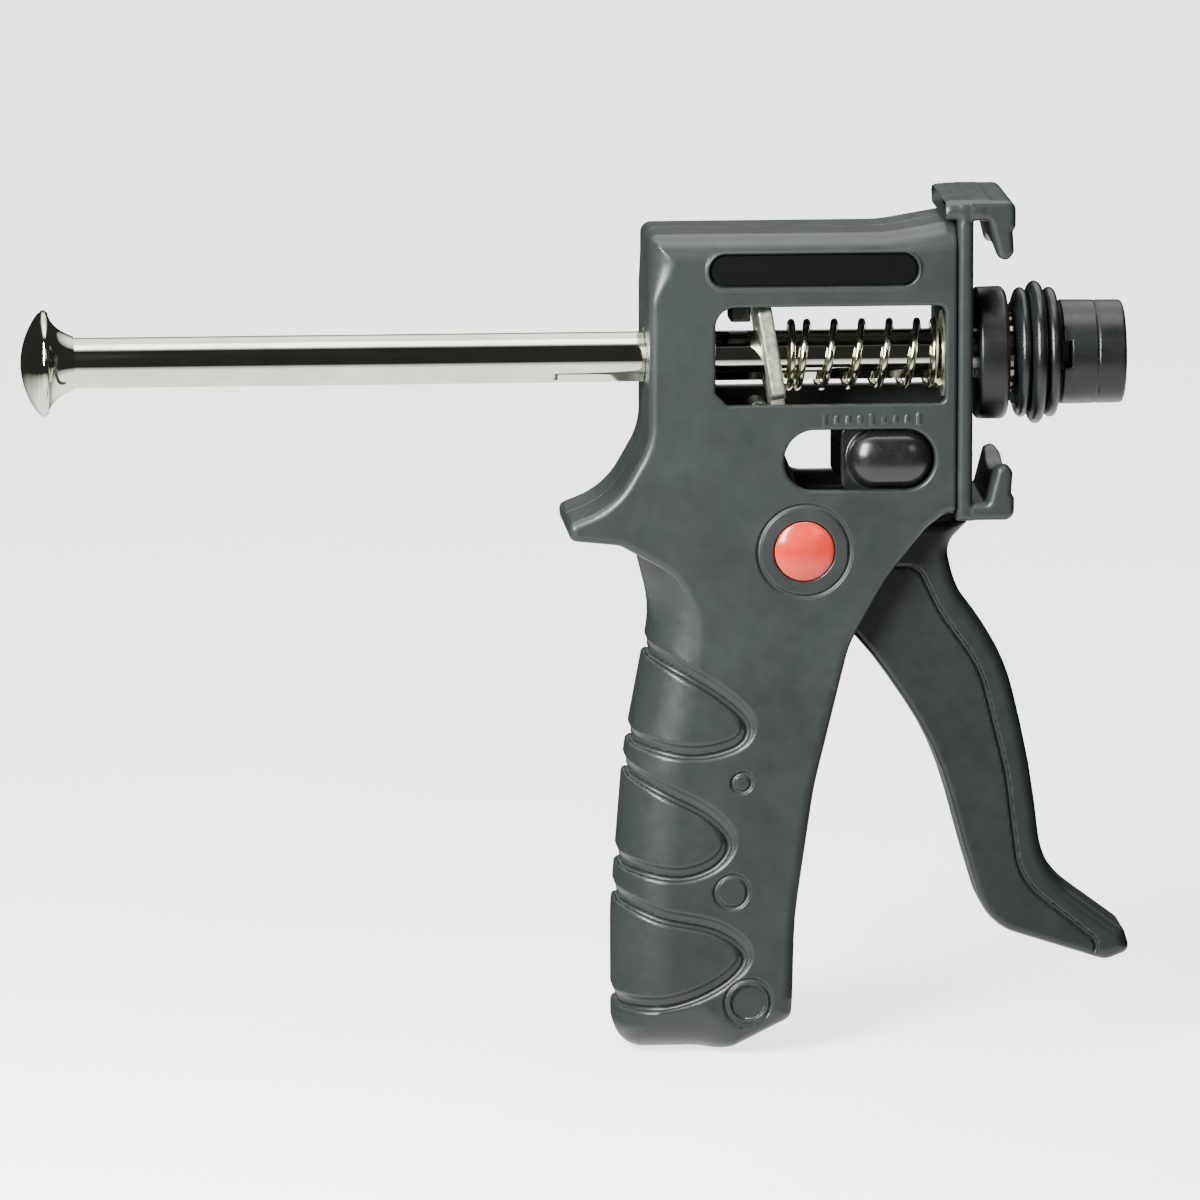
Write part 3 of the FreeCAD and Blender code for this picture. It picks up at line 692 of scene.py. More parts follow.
def finish(piece, body, slot, material, *nodes):
    """Ride, slot (not used), material and the CAD nodes that a piece stands for."""
    piece.data.materials.clear()
    piece.data.materials.append(material)
    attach(piece, body)
    if nodes:
        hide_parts(*nodes)
    return piece


# -------------------- cartridge holder
ROOF_UNDER = 28.6
FLOOR_UPPER = -28.5
LIP_FRONT = HOLDER_HIGH[0]
NECK_ARC_R = 23.2
LIP_TIP_Z = 20.4
ROOF_REAR_R = 2.5
GUIDE_FRONT_R = 7.2


def lip_outline(up):
    """Side view of the top (up 1) or bottom (up -1) hooked lip."""
    root = ROOF_UNDER if up > 0 else -FLOOR_UPPER
    crest = HOLDER_HIGH[2] if up > 0 else -HOLDER_LOW[2]
    side = [
        (-1.0, root, 0),
        (-1.0, crest, 0),
        (LIP_FRONT, crest, 2.0),
        (LIP_FRONT, 27.2, 0.5),
        (LIP_FRONT - 0.6, 26.4, 0.5),
        (LIP_FRONT - 0.3, LIP_TIP_Z + 1.6, 1.2),
        (LIP_FRONT - 1.6, LIP_TIP_Z, 1.2),
        (LIP_FRONT - 3.5, LIP_TIP_Z + 0.6, 1.0),
        (3.0, root, 1.0),
    ]
    if up < 0:
        side = [(x, -z, r) for x, z, r in reversed(side)]
    return rounded(side)


lips_2d = [tabled(outline_field(lip_outline(up)), (-8.0, 12.0), (-34.0, 35.0), 0.15) for up in (1, -1)]


def holder_field(x, y, z):
    """Back plate, roof with a rounded rear edge, and two lips with a round cut between their horns."""
    side = np.abs(y) - HALF
    plate = box_2d(x, z, (FRONT_X, 0.0), (HOLDER_LOW[2], HOLDER_HIGH[2]))
    roof = box_2d(x, z, (HOLDER_LOW[0], 3.0), (ROOF_UNDER, HOLDER_HIGH[2]))
    behind = np.maximum(HOLDER_LOW[0] + ROOF_REAR_R - x, 0)
    over = np.maximum(z - HOLDER_HIGH[2] + ROOF_REAR_R, 0)
    roof = both(roof, np.hypot(behind, over) - ROOF_REAR_R)
    profile = either(plate, roof, 0.3)
    lips = np.minimum(lips_2d[0](x, z), lips_2d[1](x, z))
    neck = np.maximum(np.hypot(y, z) - NECK_ARC_R, 0.4 - x)
    lips = without(both(lips, side, 1.3), neck, 0.7)
    corner = 1.35 + 0.85 * ramp(z, 27.0, 31.0)
    shape = either(both(profile, side, corner), lips, 0.5)
    bore = np.hypot(y, z) - GUIDE_FRONT_R
    return without(shape, bore, 0.3)


def make_holder():
    low = HOLDER_LOW - 1.2
    high = HOLDER_HIGH + 1.2
    low[0] = -5.8
    piece = field_piece("cartridge_holder_moulding", holder_field, low, high, 0.45)
    finish(piece, "frame", "housing_plastic", plastic, "cartridge_holder")


# -------------------- trigger
TRIGGER = rounded([
    (-33.6, -29.4, 0),
    (-12.0, -32.6, 6.0),
    (0.6, -32.4, 0.5),
    (-4.6, -37.6, 5.0),
    (-2.6, -46.4, 20.0),
    (7.2, -59.6, 40.0),
    (12.6, -82.0, 150.0),
    (15.4, -104.4, 18.0),
    (31.9, -116.6, 2.8),
    (33.2, -121.0, 1.8),
    (28.2, -123.0, 4.0),
    (4.0, -115.2, 12.0),
    (-0.6, -100.0, 60.0),
    (-6.4, -78.6, 68.0),
    (-20.6, -57.8, 70.0),
    (-33.6, -45.4, 0),
])
TRIGGER_PANEL = rounded([
    (-24.0, -41.6, 2.0),
    (-10.0, -41.8, 4.0),
    (-5.6, -51.0, 20.0),
    (2.6, -62.6, 24.0),
    (8.0, -84.0, 40.0),
    (10.8, -106.0, 14.0),
    (27.0, -119.0, 3.0),
    (22.0, -130.0, 0),
    (-20.0, -130.0, 0),
    (-40.0, -60.0, 0),
])
PANEL_DEPTH = 0.5
PANEL_GROOVE_R = 0.42
ARM_TIP = (-41.85, -10.6)
ARM_TIP_R = 2.0
ARM_NECK = 1.3
ARM_ROOT_R = 4.2
ARM_HALF = 4.0
BUSH_R = 4.5
TRIGGER_X = (-46.0, 36.0)
TRIGGER_Z = (-126.0, -5.0)
TRIGGER_CELL = 0.5
TRIGGER_FACE_CELL = 0.36
trigger_2d = tabled(outline_field(TRIGGER), TRIGGER_X, TRIGGER_Z)
panel_2d = tabled(outline_field(TRIGGER_PANEL), TRIGGER_X, TRIGGER_Z)


def arm_field(x, z):
    """Tapered arm from the pivot up to its round tip, which pushes the drive plate."""
    ax, az = ARM_TIP[0] - PIVOT[0], ARM_TIP[1] - PIVOT[1]
    t = np.clip(((x - PIVOT[0]) * ax + (z - PIVOT[1]) * az) / (ax * ax + az * az), 0, 1)
    middle = np.hypot(x - PIVOT[0] - t * ax, z - PIVOT[1] - t * az)
    arm = middle - (ARM_ROOT_R + (ARM_NECK - ARM_ROOT_R) * t)
    return np.minimum(arm, disc_2d(x, z, ARM_TIP, ARM_TIP_R))


def trigger_field(x, y, z):
    """Lever with a sunk, grooved panel in each face, its hub and its arm."""
    size = np.abs(y)
    lever = trigger_2d(x, z)
    shape = both(lever, size - TRIGGER_HALF, 2.4)
    panel = panel_2d(x, z)
    shape = without(shape, both(panel, TRIGGER_HALF - PANEL_DEPTH - size, 0.2), 0.4)
    shape = without(shape, np.hypot(panel + 0.2, size - TRIGGER_HALF + PANEL_DEPTH) - PANEL_GROOVE_R, 0.12)
    hub = both(disc_2d(x, z, PIVOT, HUB_R), size - TRIGGER_HALF, 0.5)
    shape = either(shape, hub, 0.8)
    shape = either(shape, both(arm_field(x, z), size - ARM_HALF, 0.5), 0.8)
    return without(shape, disc_2d(x, z, PIVOT, BUSH_R), 0.2)


def make_trigger():
    low, high = span("trigger")
    right = (-TRIGGER_HALF - 0.4, 1.6 - TRIGGER_HALF, TRIGGER_FACE_CELL)
    left = (TRIGGER_HALF - 1.6, TRIGGER_HALF + 0.4, TRIGGER_FACE_CELL)
    zones = (((-26.0, 16.0, 0.42),), (right, left), ())
    piece = field_piece("trigger_lever", trigger_field, low - 1.5, high + 1.5, TRIGGER_CELL, zones)
    # The trigger wears the darker copy of the housing plastic, whose extra darkness is painted shade
    finish(piece, "lever", "trigger_plastic", trigger_plastic_painted_shade, "trigger")


# -------------------- rod and knob
ROD_R = 5.0
SHOULDER_X = 7.7  # the plunger stack sits on a thinner front end
THREAD_R = 3.0
SCREW_HOLE = (2.05, 13.0)  # radius and where it ends
FLAT_START = -82.0
FLAT_DEPTH = 0.5
FLAT_TURN = 30.0  # degrees from straight down, towards the right
ROD_LOW, ROD_HIGH = span("push_rod")
KNOB_LOW, KNOB_HIGH = span("rod_knob")


def mill_flat(points):
    """Press the rod's underside to its flat."""
    down = np.array([0.0, -math.sin(math.radians(FLAT_TURN)), -math.cos(math.radians(FLAT_TURN))])
    over = points @ down - (ROD_R - FLAT_DEPTH)
    milled = (points[:, 0] > FLAT_START) & (points[:, 0] < SHOULDER_X + 0.1)
    over = np.where(milled, np.maximum(over, 0), 0)
    return points - over[:, None] * down


def make_rod():
    """Rod with evenly spaced rings along the flat, a shoulder and a bored front end."""
    back, front = ROD_LOW[0], ROD_HIGH[0]
    profile = [(back, 0.01), (back, ROD_R), (FLAT_START - 0.02, ROD_R), (FLAT_START + 0.02, ROD_R)]
    profile += [(FLAT_START + 10.0 * k, ROD_R) for k in range(1, 9)]
    profile += [(SHOULDER_X, ROD_R), (SHOULDER_X, THREAD_R), (front - 0.4, THREAD_R), (front, THREAD_R - 0.4)]
    profile += [(front, SCREW_HOLE[0]), (SCREW_HOLE[1], SCREW_HOLE[0]), (SCREW_HOLE[1], 0.01)]
    rod = lathe("push_rod_bar", profile, turns=192, bend=mill_flat)
    crease(rod, 12)
    finish(rod, "rod", "rod_steel", chrome, "push_rod")


def make_rod_knob():
    """Turned knob: shallow dome, thin round rim and a hollow cone down to the rod."""
    dome, rim = KNOB_LOW[0], KNOB_HIGH[2]
    neck = KNOB_HIGH[0]
    outline = curve_through([
        (dome, 0.01),
        (dome + 0.25, 2.6),
        (dome + 1.0, 5.4),
        (dome + 2.2, 8.0),
        (dome + 3.3, 9.7),
    ], 6)
    outline += arc_points((dome + 4.6, rim - 0.75), 0.75, 150, 40, 6)
    outline += [(dome + 5.5, rim - 0.5), (dome + 5.55, rim - 1.0)]
    outline += curve_through([
        (dome + 5.6, rim - 1.15),
        (dome + 6.2, rim - 2.3),
        (dome + 7.3, rim - 3.5),
        (dome + 8.8, rim - 4.5),
        (neck, ROD_R + 0.25),
    ], 6)
    outline += [(neck, ROD_R - 0.02), (dome + 7.0, ROD_R - 0.02), (dome + 7.0, 0.01)]
    knob = lathe("rod_knob_turned", outline)
    crease(knob, 50)
    finish(knob, "rod", "rod_steel", chrome, "rod_knob")


# -------------------- plunger
SCREW_BORE_R = 3.1
RIDGE_PIECES = 10


def ridge(x0, x1, foot, top):
    """Rounded ridge between two x places."""
    out = []
    for k in range(RIDGE_PIECES + 1):
        angle = math.pi * (1 - k / RIDGE_PIECES)
        out.append(((x0 + x1) / 2 + (x1 - x0) / 2 * math.cos(angle), foot + (top - foot) * math.sin(angle)))
    return out


def make_plunger_disc():
    """Thick disc with rounded rims and a shallow ring in its front."""
    disc = [(1.5, 5.05), (1.5, 12.6), (2.0, 13.2), (6.9, 13.3), (7.7, 12.5), (7.7, 11.8), (7.35, 11.4),
            (7.35, 9.9), (7.7, 9.5), (7.7, 5.05)]
    piece = lathe("plunger_disc_turned", soften(disc, 0.35))
    crease(piece, 40)
    finish(piece, "rod", "plunger_plastic", plunger_black, "plunger_disc")


def make_plunger_seal():
    """Rubber seal with three ridges, the middle one tallest."""
    seal = [(8.95, SCREW_BORE_R), (8.95, 10.2), (9.2, 10.5)]
    seal += ridge(9.5, 12.1, 11.2, 13.0)
    seal += ridge(12.2, 15.2, 12.2, span("plunger_seal")[1][2])
    seal += ridge(15.5, 17.8, 11.8, 13.0)
    seal += [(18.0, 11.2), (18.0, SCREW_BORE_R)]
    piece = lathe("plunger_seal_moulded", seal, turns=144)
    crease(piece, 60)
    finish(piece, "rod", "seal_rubber", rubber, "plunger_seal")


NOSE_LOW, NOSE_HIGH = span("plunger_nose")
NOSE_R = 10.45
NOSE_TAPER = 0.12
NOSE_LINE_X = 25.7  # fine groove round the nose
NOSE_MOUTH = (4.8, 27.0)  # radius of the front recess and where it starts
POCKET_X, POCKET_Z = 19.4, 0.9
POCKET_HALF = (0.8, 2.7)
POCKET_FLOOR = 7.6
STEP_X = 18.2


def nose_field(x, y, z):
    """Slightly tapered cylinder with a fine groove, a bore, and a pocket on each side."""
    r = np.hypot(y, z)
    taper = NOSE_TAPER * ramp(x, NOSE_LOW[0], NOSE_HIGH[0])
    shape = both(r - NOSE_R + taper, between(x, NOSE_LOW[0] + 0.02, NOSE_HIGH[0]), 0.9)
    shape = without(shape, np.hypot(r - NOSE_R, x - NOSE_LINE_X) - 0.28, 0.12)
    shape = without(shape, both(r - NOSE_MOUTH[0], NOSE_MOUTH[1] - x, 0.2), 0.4)
    shape = without(shape, r - SCREW_BORE_R)
    pocket = np.maximum(np.abs(x - POCKET_X) - POCKET_HALF[0], np.abs(z - POCKET_Z) - POCKET_HALF[1])
    shape = without(shape, both(pocket, POCKET_FLOOR - np.abs(y), 0.3), 0.3)
    return without(shape, np.hypot(r - NOSE_R, x - STEP_X) - 0.5, 0.15)


def make_plunger_nose():
    piece = field_piece("plunger_nose_moulded", nose_field, NOSE_LOW - 1, NOSE_HIGH + 1, 0.36)
    finish(piece, "rod", "plunger_plastic", plunger_black, "plunger_nose")


# -------------------- plate and spring
PLATE_LEAN = 9.5  # degrees, top to the rear
PLATE_X = -39.6
PLATE_THICK = 3.0
PLATE_HALF = 11.3
PLATE_SPAN = (-7.6, 11.3)  # along its own height
TONGUE_HALF = 4.0
TONGUE_SPAN = (-12.6, 0.0)
PLATE_HOLE_R = 5.3


def plate_field(x, y, z):
    """Leaning plate with a hole for the rod and a tongue below."""
    lean = math.radians(PLATE_LEAN)
    u = (x - PLATE_X) * math.cos(lean) + z * math.sin(lean)
    w = z * math.cos(lean) - (x - PLATE_X) * math.sin(lean)
    size = np.abs(y)
    wide = both(size - PLATE_HALF, between(w, *PLATE_SPAN), 1.8)
    tongue = np.maximum(size - TONGUE_HALF, between(w, *TONGUE_SPAN))
    face = either(wide, tongue, 1.2)
    shape = both(face, np.abs(u) - PLATE_THICK / 2, 0.45)
    return without(shape, np.hypot(y, z) - PLATE_HOLE_R, 0.35)


def make_plate():
    low, high = span("drive_plate")
    piece = field_piece("drive_plate_stamped", plate_field, low - 1, high + 1, 0.4)
    finish(piece, "jam_plate", "zinc_steel", zinc, "drive_plate")


WIRE_R = 0.725
SPRING_LOW, SPRING_HIGH = span("return_spring")
SPRING_R = SPRING_HIGH[2] - WIRE_R
SPRING_LENGTH = SPRING_HIGH[0] - SPRING_LOW[0]
ACTIVE_TURNS = 4.9
END_TURNS = 1.1


def spring_line(count):
    """Points along the wire's middle: the end coils lie close together."""
    turns = ACTIVE_TURNS + 2 * END_TURNS
    steps = np.linspace(0, turns, 400)
    opening = ramp(steps, END_TURNS - 0.5, END_TURNS + 0.5)
    closing = ramp(turns - steps, END_TURNS - 0.5, END_TURNS + 0.5)
    pitch = opening * closing
    close = 2 * WIRE_R * 0.98
    added = np.concatenate([[0], np.cumsum((pitch[1:] + pitch[:-1]) / 2 * np.diff(steps))])
    grow = (SPRING_LENGTH - 2 * WIRE_R - close * turns) / added[-1]
    x = SPRING_LOW[0] + WIRE_R + close * steps + grow * added
    at = np.arange(count) / (count - 1) * turns
    angle = 2 * math.pi * at
    return np.stack([np.interp(at, steps, x), -SPRING_R * np.sin(angle), -SPRING_R * np.cos(angle)], 1)


def make_spring():
    """Wire swept along the coil, its ends ground flat."""
    rings, around = 460, 14
    line = spring_line(rings)
    along = np.gradient(line, axis=0)
    along /= np.linalg.norm(along, axis=1)[:, None]
    out = line * np.array([0, 1, 1])
    out /= np.linalg.norm(out, axis=1)[:, None]
    side = np.cross(along, out)
    points = []
    for k in range(rings):
        for m in range(around):
            angle = 2 * math.pi * m / around
            points.append(line[k] + WIRE_R * (math.cos(angle) * out[k] + math.sin(angle) * side[k]))
    faces = []
    for k in range(rings - 1):
        for m in range(around):
            n = (m + 1) % around
            faces.append((k * around + m, k * around + n, (k + 1) * around + n, (k + 1) * around + m))
    faces.append(tuple(range(around - 1, -1, -1)))
    faces.append(tuple((rings - 1) * around + m for m in range(around)))
    points = np.array(points)
    points[:, 0] = np.clip(points[:, 0], SPRING_LOW[0], SPRING_HIGH[0])
    piece = add_mesh("return_spring_coil", points, faces)
    weld(piece)
    crease(piece, 60)
    finish(piece, "frame", "spring_steel", spring_steel, "return_spring")
    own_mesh(piece)


# -------------------- caps and dose slider
CAP_SINK = 0.95
DOME_STEPS = 11


def make_caps():
    """Two domed caps over the ends of the pivot pin."""
    dome = CAP_TOP - HALF
    sphere = (CAP_R ** 2 + dome ** 2) / (2 * dome)
    base = HALF - CAP_SINK
    profile = [(base, 0.01), (base, CAP_R - 0.3), (HALF - 0.1, CAP_R - 0.05)]
    for k in range(DOME_STEPS + 1):
        r = (CAP_R - 0.2) * (1 - k / DOME_STEPS) + 0.01
        profile.append((CAP_TOP - sphere + math.sqrt(sphere ** 2 - r ** 2), r))
    for name, sign in (("pivot_cap_right", -1), ("pivot_cap_left", 1)):

        def turn(points, sign=sign):
            x, y, z = points.T
            return np.stack([PIVOT[0] + y, sign * x, PIVOT[1] + z], 1)

        piece = lathe(name + "_dome", profile, turns=96, closed=False, bend=turn)
        crease(piece, 40)
        finish(piece, "frame", "cap_plastic", cap_red, name)


FLANGE_PAST_X = 1.2
FLANGE_PAST_Z = 0.9
FLANGE_SPAN = (9.9, 11.7)
DOME_REAR = 10.5
DOME_SQUASH = 1.25
DOME_CORNER_R = 5.6
DOME_EDGE_R = 5.4
FLANGE_CORNER_R = 2.0


def make_dose_knobs():
    """Two domed buttons, each on a flange that slides behind its slot."""
    for name, sign in (("dose_knob_right", -1), ("dose_knob_left", 1)):
        low, high = span(name)
        top = max(abs(low[1]), abs(high[1]))
        x_span = (low[0] + FLANGE_PAST_X, high[0] - FLANGE_PAST_X)
        z_span = (low[2] + FLANGE_PAST_Z, high[2] - FLANGE_PAST_Z)
        knob_2d = outline_field(rounded(rectangle(x_span, z_span, DOME_CORNER_R)))
        flange = rectangle((low[0], high[0]), (low[2], high[2]), FLANGE_CORNER_R)
        flange_2d = outline_field(rounded(flange))

        def field(x, y, z, sign=sign, knob_2d=knob_2d, flange_2d=flange_2d, top=top):
            side = sign * y
            dome = both(knob_2d(x, z), (side - top) * DOME_SQUASH, DOME_EDGE_R)
            dome = both(dome, DOME_REAR - side)
            flange = both(flange_2d(x, z), between(side, *FLANGE_SPAN), 0.4)
            return either(dome, flange, 0.4)

        piece = field_piece(name + "_moulded", field, low - 1, high + 1, 0.42)
        finish(piece, "dose_slider", "knob_plastic", knob_black, name)


# -------------------- materials
class Nodes:
    """Short names for building one node tree."""

    def __init__(self, name):
        self.material = bpy.data.materials.new(name)
        self.material.use_nodes = True
        self.tree = self.material.node_tree
        self.shader = self.tree.nodes["Principled BSDF"]
        self.coords = self.tree.nodes.new("ShaderNodeTexCoord").outputs["Object"]

    def noise(self, size_mm, detail, rough, stretch=(1, 1, 1)):
        """Cloudy noise of about this grain size."""
        spread = self.tree.nodes.new("ShaderNodeMapping")
        spread.inputs["Scale"].default_value = stretch
        self.tree.links.new(self.coords, spread.inputs["Vector"])
        node = self.tree.nodes.new("ShaderNodeTexNoise")
        node.inputs["Scale"].default_value = 1.0 / (size_mm * MM)
        node.inputs["Detail"].default_value = detail
        node.inputs["Roughness"].default_value = rough
        self.tree.links.new(spread.outputs["Vector"], node.inputs["Vector"])
        return node.outputs["Fac"]

    def remap(self, value, low, high, out_low, out_high):
        """Straight change from one span of values to another."""
        node = self.tree.nodes.new("ShaderNodeMapRange")
        for key, number in (("From Min", low), ("From Max", high), ("To Min", out_low), ("To Max", out_high)):
            node.inputs[key].default_value = number
        self.tree.links.new(value, node.inputs["Value"])
        return node.outputs["Result"]

    def colours(self, value, stops):
        """Colour ramp from (place, colour) stops."""
        node = self.tree.nodes.new("ShaderNodeValToRGB")
        ramp_stops = node.color_ramp.elements
        while len(ramp_stops) < len(stops):
            ramp_stops.new(0.5)
        for stop, (place, colour) in zip(ramp_stops, stops):
            stop.position = place
            stop.color = (*colour, 1)
        self.tree.links.new(value, node.inputs["Fac"])
        return node.outputs["Color"]

    def bump(self, layers):
        """Chain of bumps: (height, distance in mm, strength)."""
        last = None
        for height, deep, strength in layers:
            node = self.tree.nodes.new("ShaderNodeBump")
            node.inputs["Distance"].default_value = deep * MM
            node.inputs["Strength"].default_value = strength
            self.tree.links.new(height, node.inputs["Height"])
            if last is not None:
                self.tree.links.new(last, node.inputs["Normal"])
            last = node.outputs["Normal"]
        self.tree.links.new(last, self.shader.inputs["Normal"])

    def put(self, socket, output):
        """Link an output to a socket of the shader."""
        self.tree.links.new(output, self.shader.inputs[socket])


def shade(colour, factor):
    """The same colour, darker or lighter."""
    return tuple(c * factor for c in colour)


def moulded(name, colour, rough=(0.30, 0.42), grain=0.32, depth=0.02, gloss=0.5):
    """Moulded plastic with spark texture, flow marks and handling polish."""
    m = Nodes(name)
    broad = m.noise(16.0, 4.0, 0.6)
    patches = m.noise(3.2, 5.0, 0.65)
    fine = m.noise(grain, 2.0, 0.6)
    stops = [(0.3, shade(colour, 0.82)), (0.55, colour), (0.78, shade(colour, 1.22))]
    m.put("Base Color", m.colours(broad, stops))
    m.put("Roughness", m.remap(patches, 0.3, 0.7, *rough))
    m.bump([(patches, 0.12, 0.10), (fine, depth, 0.55)])
    m.shader.inputs["Specular IOR Level"].default_value = gloss
    return m.material


def polished(name, colour, rough):
    """Glossy moulded plastic with faint orange peel and fine rub marks."""
    m = Nodes(name)
    cloud = m.noise(4.0, 4.0, 0.6)
    peel = m.noise(0.9, 1.0, 0.4)
    m.put("Base Color", m.colours(cloud, [(0.35, shade(colour, 0.88)), (0.7, shade(colour, 1.08))]))
    m.put("Roughness", m.remap(cloud, 0.3, 0.7, rough * 0.7, rough * 1.6))
    m.bump([(peel, 0.03, 0.12)])
    m.shader.inputs["Coat Weight"].default_value = 0.4
    m.shader.inputs["Coat Roughness"].default_value = 0.08
    return m.material


def metal(name, colour, rough, draw=(1, 1, 1), size=1.2, depth=0.01):
    """Plated metal: drawn or turned marks, patchy polish."""
    m = Nodes(name)
    marks = m.noise(size, 4.0, 0.7, draw)
    cloud = m.noise(7.0, 4.0, 0.6)
    m.put("Base Color", m.colours(cloud, [(0.3, shade(colour, 0.86)), (0.7, shade(colour, 1.05))]))
    m.put("Roughness", m.remap(marks, 0.3, 0.7, *rough))
    m.bump([(marks, depth, 0.25)])
    m.shader.inputs["Metallic"].default_value = 1.0
    return m.material


CRYSTAL = 1.3


def galvanised(name, colour):
    """Zinc-plated steel: crystal patches over fine rolling marks."""
    m = Nodes(name)
    cells = m.tree.nodes.new("ShaderNodeTexVoronoi")
    cells.inputs["Scale"].default_value = 1.0 / (CRYSTAL * MM)
    m.tree.links.new(m.coords, cells.inputs["Vector"])
    grain = m.noise(0.5, 4.0, 0.7)
    stops = [(0.1, shade(colour, 1.1)), (0.8, shade(colour, 0.7))]
    m.put("Base Color", m.colours(cells.outputs["Distance"], stops))
    m.put("Roughness", m.remap(grain, 0.3, 0.7, 0.32, 0.55))
    m.bump([(cells.outputs["Distance"], 0.05, 0.25), (grain, 0.02, 0.3)])
    m.shader.inputs["Metallic"].default_value = 1.0
    return m.material


plastic = moulded("housing_plastic", (0.025, 0.031, 0.029))
# The trigger's copy of the housing plastic is made darker: painted shade for the weaker light low on the
# trigger
trigger_plastic_painted_shade = moulded("trigger_plastic", (0.016, 0.0205, 0.019))
inlay = moulded("inlay_plastic", (0.003, 0.004, 0.0035), (0.6, 0.8), 0.5, 0.05, 0.06)
guide_black = moulded("guide_plastic", (0.012, 0.014, 0.013), (0.35, 0.5))
plunger_black = moulded("plunger_plastic", (0.008, 0.010, 0.009), (0.26, 0.42), 0.6, 0.03, 0.4)
rubber = moulded("seal_rubber", (0.008, 0.010, 0.010), (0.22, 0.36), 0.8, 0.04)
knob_black = polished("knob_plastic", (0.008, 0.009, 0.009), 0.26)
cap_red = polished("cap_plastic", (0.72, 0.038, 0.022), 0.16)
chrome = metal("rod_steel", (0.80, 0.82, 0.67), (0.03, 0.09), (0.05, 1, 1))
spring_steel = metal("spring_steel", (0.80, 0.77, 0.60), (0.10, 0.2))
zinc = galvanised("zinc_steel", (0.82, 0.84, 0.69))
washer_steel = metal("washer_steel", (0.42, 0.33, 0.26), (0.25, 0.4), (1, 1, 1), 0.6, 0.02)
SLOT_MATERIALS = {
    "housing_plastic": plastic, "trigger_plastic": trigger_plastic_painted_shade, "inlay_plastic": inlay,
    "guide_plastic": guide_black, "plunger_plastic": plunger_black, "seal_rubber": rubber,
    "knob_plastic": knob_black, "cap_plastic": cap_red, "rod_steel": chrome, "spring_steel": spring_steel,
    "zinc_steel": zinc, "washer_steel": washer_steel,
}


def dress_cad_nodes():
    """Give every CAD node the material of its slot."""
    for part in frame["record"]["subparts"]:
        node = frame["nodes"][part["node"]]
        for place in range(len(node.material_slots)):
            node.material_slots[place].material = SLOT_MATERIALS[part["material_slot"]]


# -------------------- stage, light and camera
PAPER_GLOW = 2.3


def make_floor():
    """Flat sheet of pale paper just under the object. It glows, and only the camera and shadows meet it."""
    size = 3.0
    low = cad_box[0][2] - 0.0005
    corners = [(-size, -size, low), (size, -size, low), (size, size, low), (-size, size, low)]
    mesh = bpy.data.meshes.new("paper_floor")
    mesh.from_pydata(corners, [], [(0, 1, 2, 3)])
    floor = bpy.data.objects.new("paper_floor", mesh)
    bpy.context.collection.objects.link(floor)
    m = Nodes("paper")
    cloud = m.noise(60.0, 4.0, 0.6)
    m.put("Base Color", m.colours(cloud, [(0.3, (0.86, 0.86, 0.86)), (0.7, (0.9, 0.9, 0.9))]))
    m.put("Roughness", m.remap(cloud, 0.3, 0.7, 0.7, 0.9))
    m.shader.inputs["Emission Color"].default_value = (1, 1, 1, 1)
    m.shader.inputs["Emission Strength"].default_value = PAPER_GLOW
    floor.data.materials.append(m.material)
    floor.visible_glossy = False
    floor.visible_diffuse = False


def add_light(name, place, target, size, power):
    """Soft rectangular light that faces its target."""
    light = bpy.data.lights.new(name, "AREA")
    light.shape = "RECTANGLE"
    light.size, light.size_y = size
    light.energy = power
    lamp = bpy.data.objects.new(name, light)
    lamp.location = place
    lamp.rotation_euler = (Vector(target) - Vector(place)).to_track_quat("-Z", "Y").to_euler()
    bpy.context.collection.objects.link(lamp)


BACK_TILT = 0.414  # leans the bright dome to the back
GLOW = 2.3
FLOOR_GLOW = 2.0
CAMERA_GLOW = 2.6
DIFFUSE_SHARE = 0.4


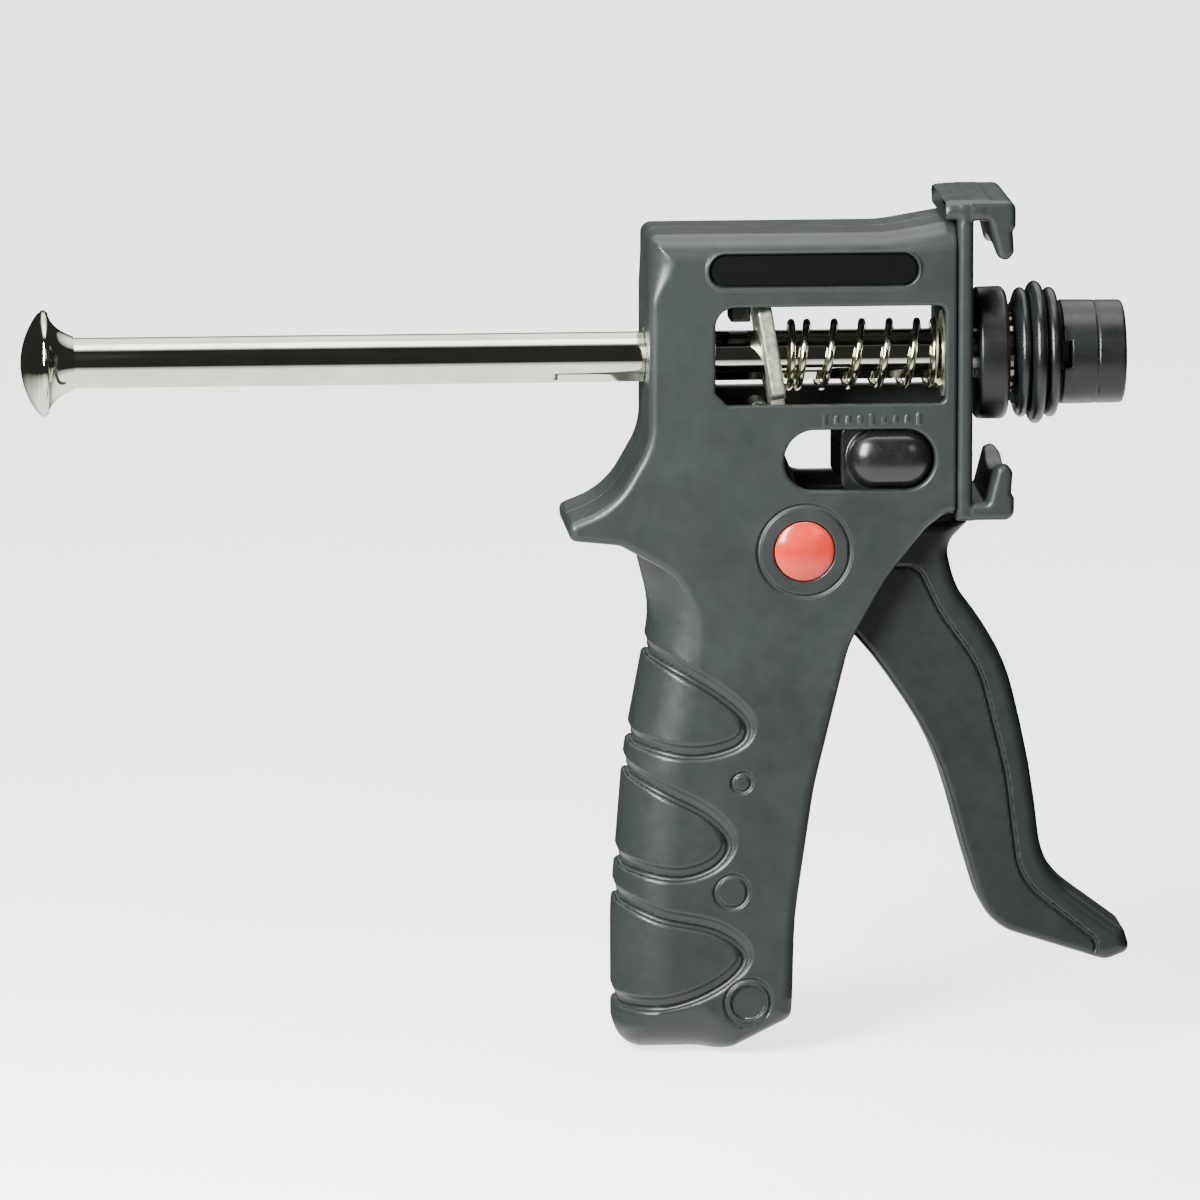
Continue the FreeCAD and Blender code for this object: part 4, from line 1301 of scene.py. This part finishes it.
def make_world():
    """Studio round the object: bright overhead, behind and below, dark at eye level in front."""
    world = bpy.data.worlds.new("studio")
    bpy.context.scene.world = world
    world.use_nodes = True
    tree = world.node_tree
    back = tree.nodes["Background"]
    coords = tree.nodes.new("ShaderNodeTexCoord")
    parts = tree.nodes.new("ShaderNodeSeparateXYZ")
    tree.links.new(coords.outputs["Generated"], parts.inputs["Vector"])
    path = tree.nodes.new("ShaderNodeLightPath").outputs

    def fade(value, *numbers):
        node = tree.nodes.new("ShaderNodeMapRange")
        for key, number in zip(("From Min", "From Max", "To Min", "To Max"), numbers):
            node.inputs[key].default_value = number
        tree.links.new(value, node.inputs["Value"])
        return node.outputs["Result"]

    def combine(operation, *values):
        node = tree.nodes.new("ShaderNodeMath")
        node.operation = operation
        for socket, value in zip(node.inputs, values):
            if isinstance(value, float):
                socket.default_value = value
            else:
                tree.links.new(value, socket)
        return node.outputs["Value"]

    height = combine("MULTIPLY_ADD", parts.outputs["Y"], BACK_TILT, parts.outputs["Z"])
    above = fade(height, 0.68, 0.97, 0.03, GLOW)
    below = fade(parts.outputs["Z"], -0.2, -0.52, 0.0, FLOOR_GLOW)
    seen = combine("MULTIPLY", path["Is Camera Ray"], CAMERA_GLOW)
    strength = combine("MAXIMUM", combine("ADD", above, below), seen)
    share = fade(path["Is Diffuse Ray"], 0.0, 1.0, 1.0, DIFFUSE_SHARE)
    tree.links.new(combine("MULTIPLY", strength, share), back.inputs["Strength"])
    back.inputs["Color"].default_value = (1, 1, 1, 1)


def make_camera():
    """Long lens, a little behind and above the object's side."""
    azimuth = math.radians(-4.4)
    elevation = math.radians(10.0)
    away = 2.4
    centre = Vector((-0.0733, 0, -0.0492))
    flat = math.cos(elevation)
    towards = Vector((math.sin(azimuth) * flat, -math.cos(azimuth) * flat, math.sin(elevation)))
    camera = bpy.data.cameras.new("camera")
    camera.lens = 360
    camera.sensor_width = 36
    camera.clip_end = 20
    eye = bpy.data.objects.new("camera", camera)
    eye.location = centre + towards * away
    eye.rotation_euler = (-towards).to_track_quat("-Z", "Y").to_euler()
    bpy.context.collection.objects.link(eye)
    bpy.context.scene.camera = eye


make_camera()
dress_cad_nodes()
make_housing()
make_inlays()
make_holder()
make_trigger()
make_rod()
make_rod_knob()
make_plunger_disc()
make_plunger_seal()
make_plunger_nose()
make_plate()
make_spring()
make_caps()
make_dose_knobs()
make_floor()
make_world()
add_light("key", (-0.36, -0.38, 0.22), (-0.06, 0, -0.02), (0.22, 0.4), 12.5)
add_light("fill", (0.48, -0.85, 0.5), (-0.02, 0, 0), (0.4, 0.4), 1.2)
add_light("top", (-0.05, -0.1, 1.2), (-0.05, 0, 0), (1.2, 0.6), 7)

bpy.context.view_layer.update()
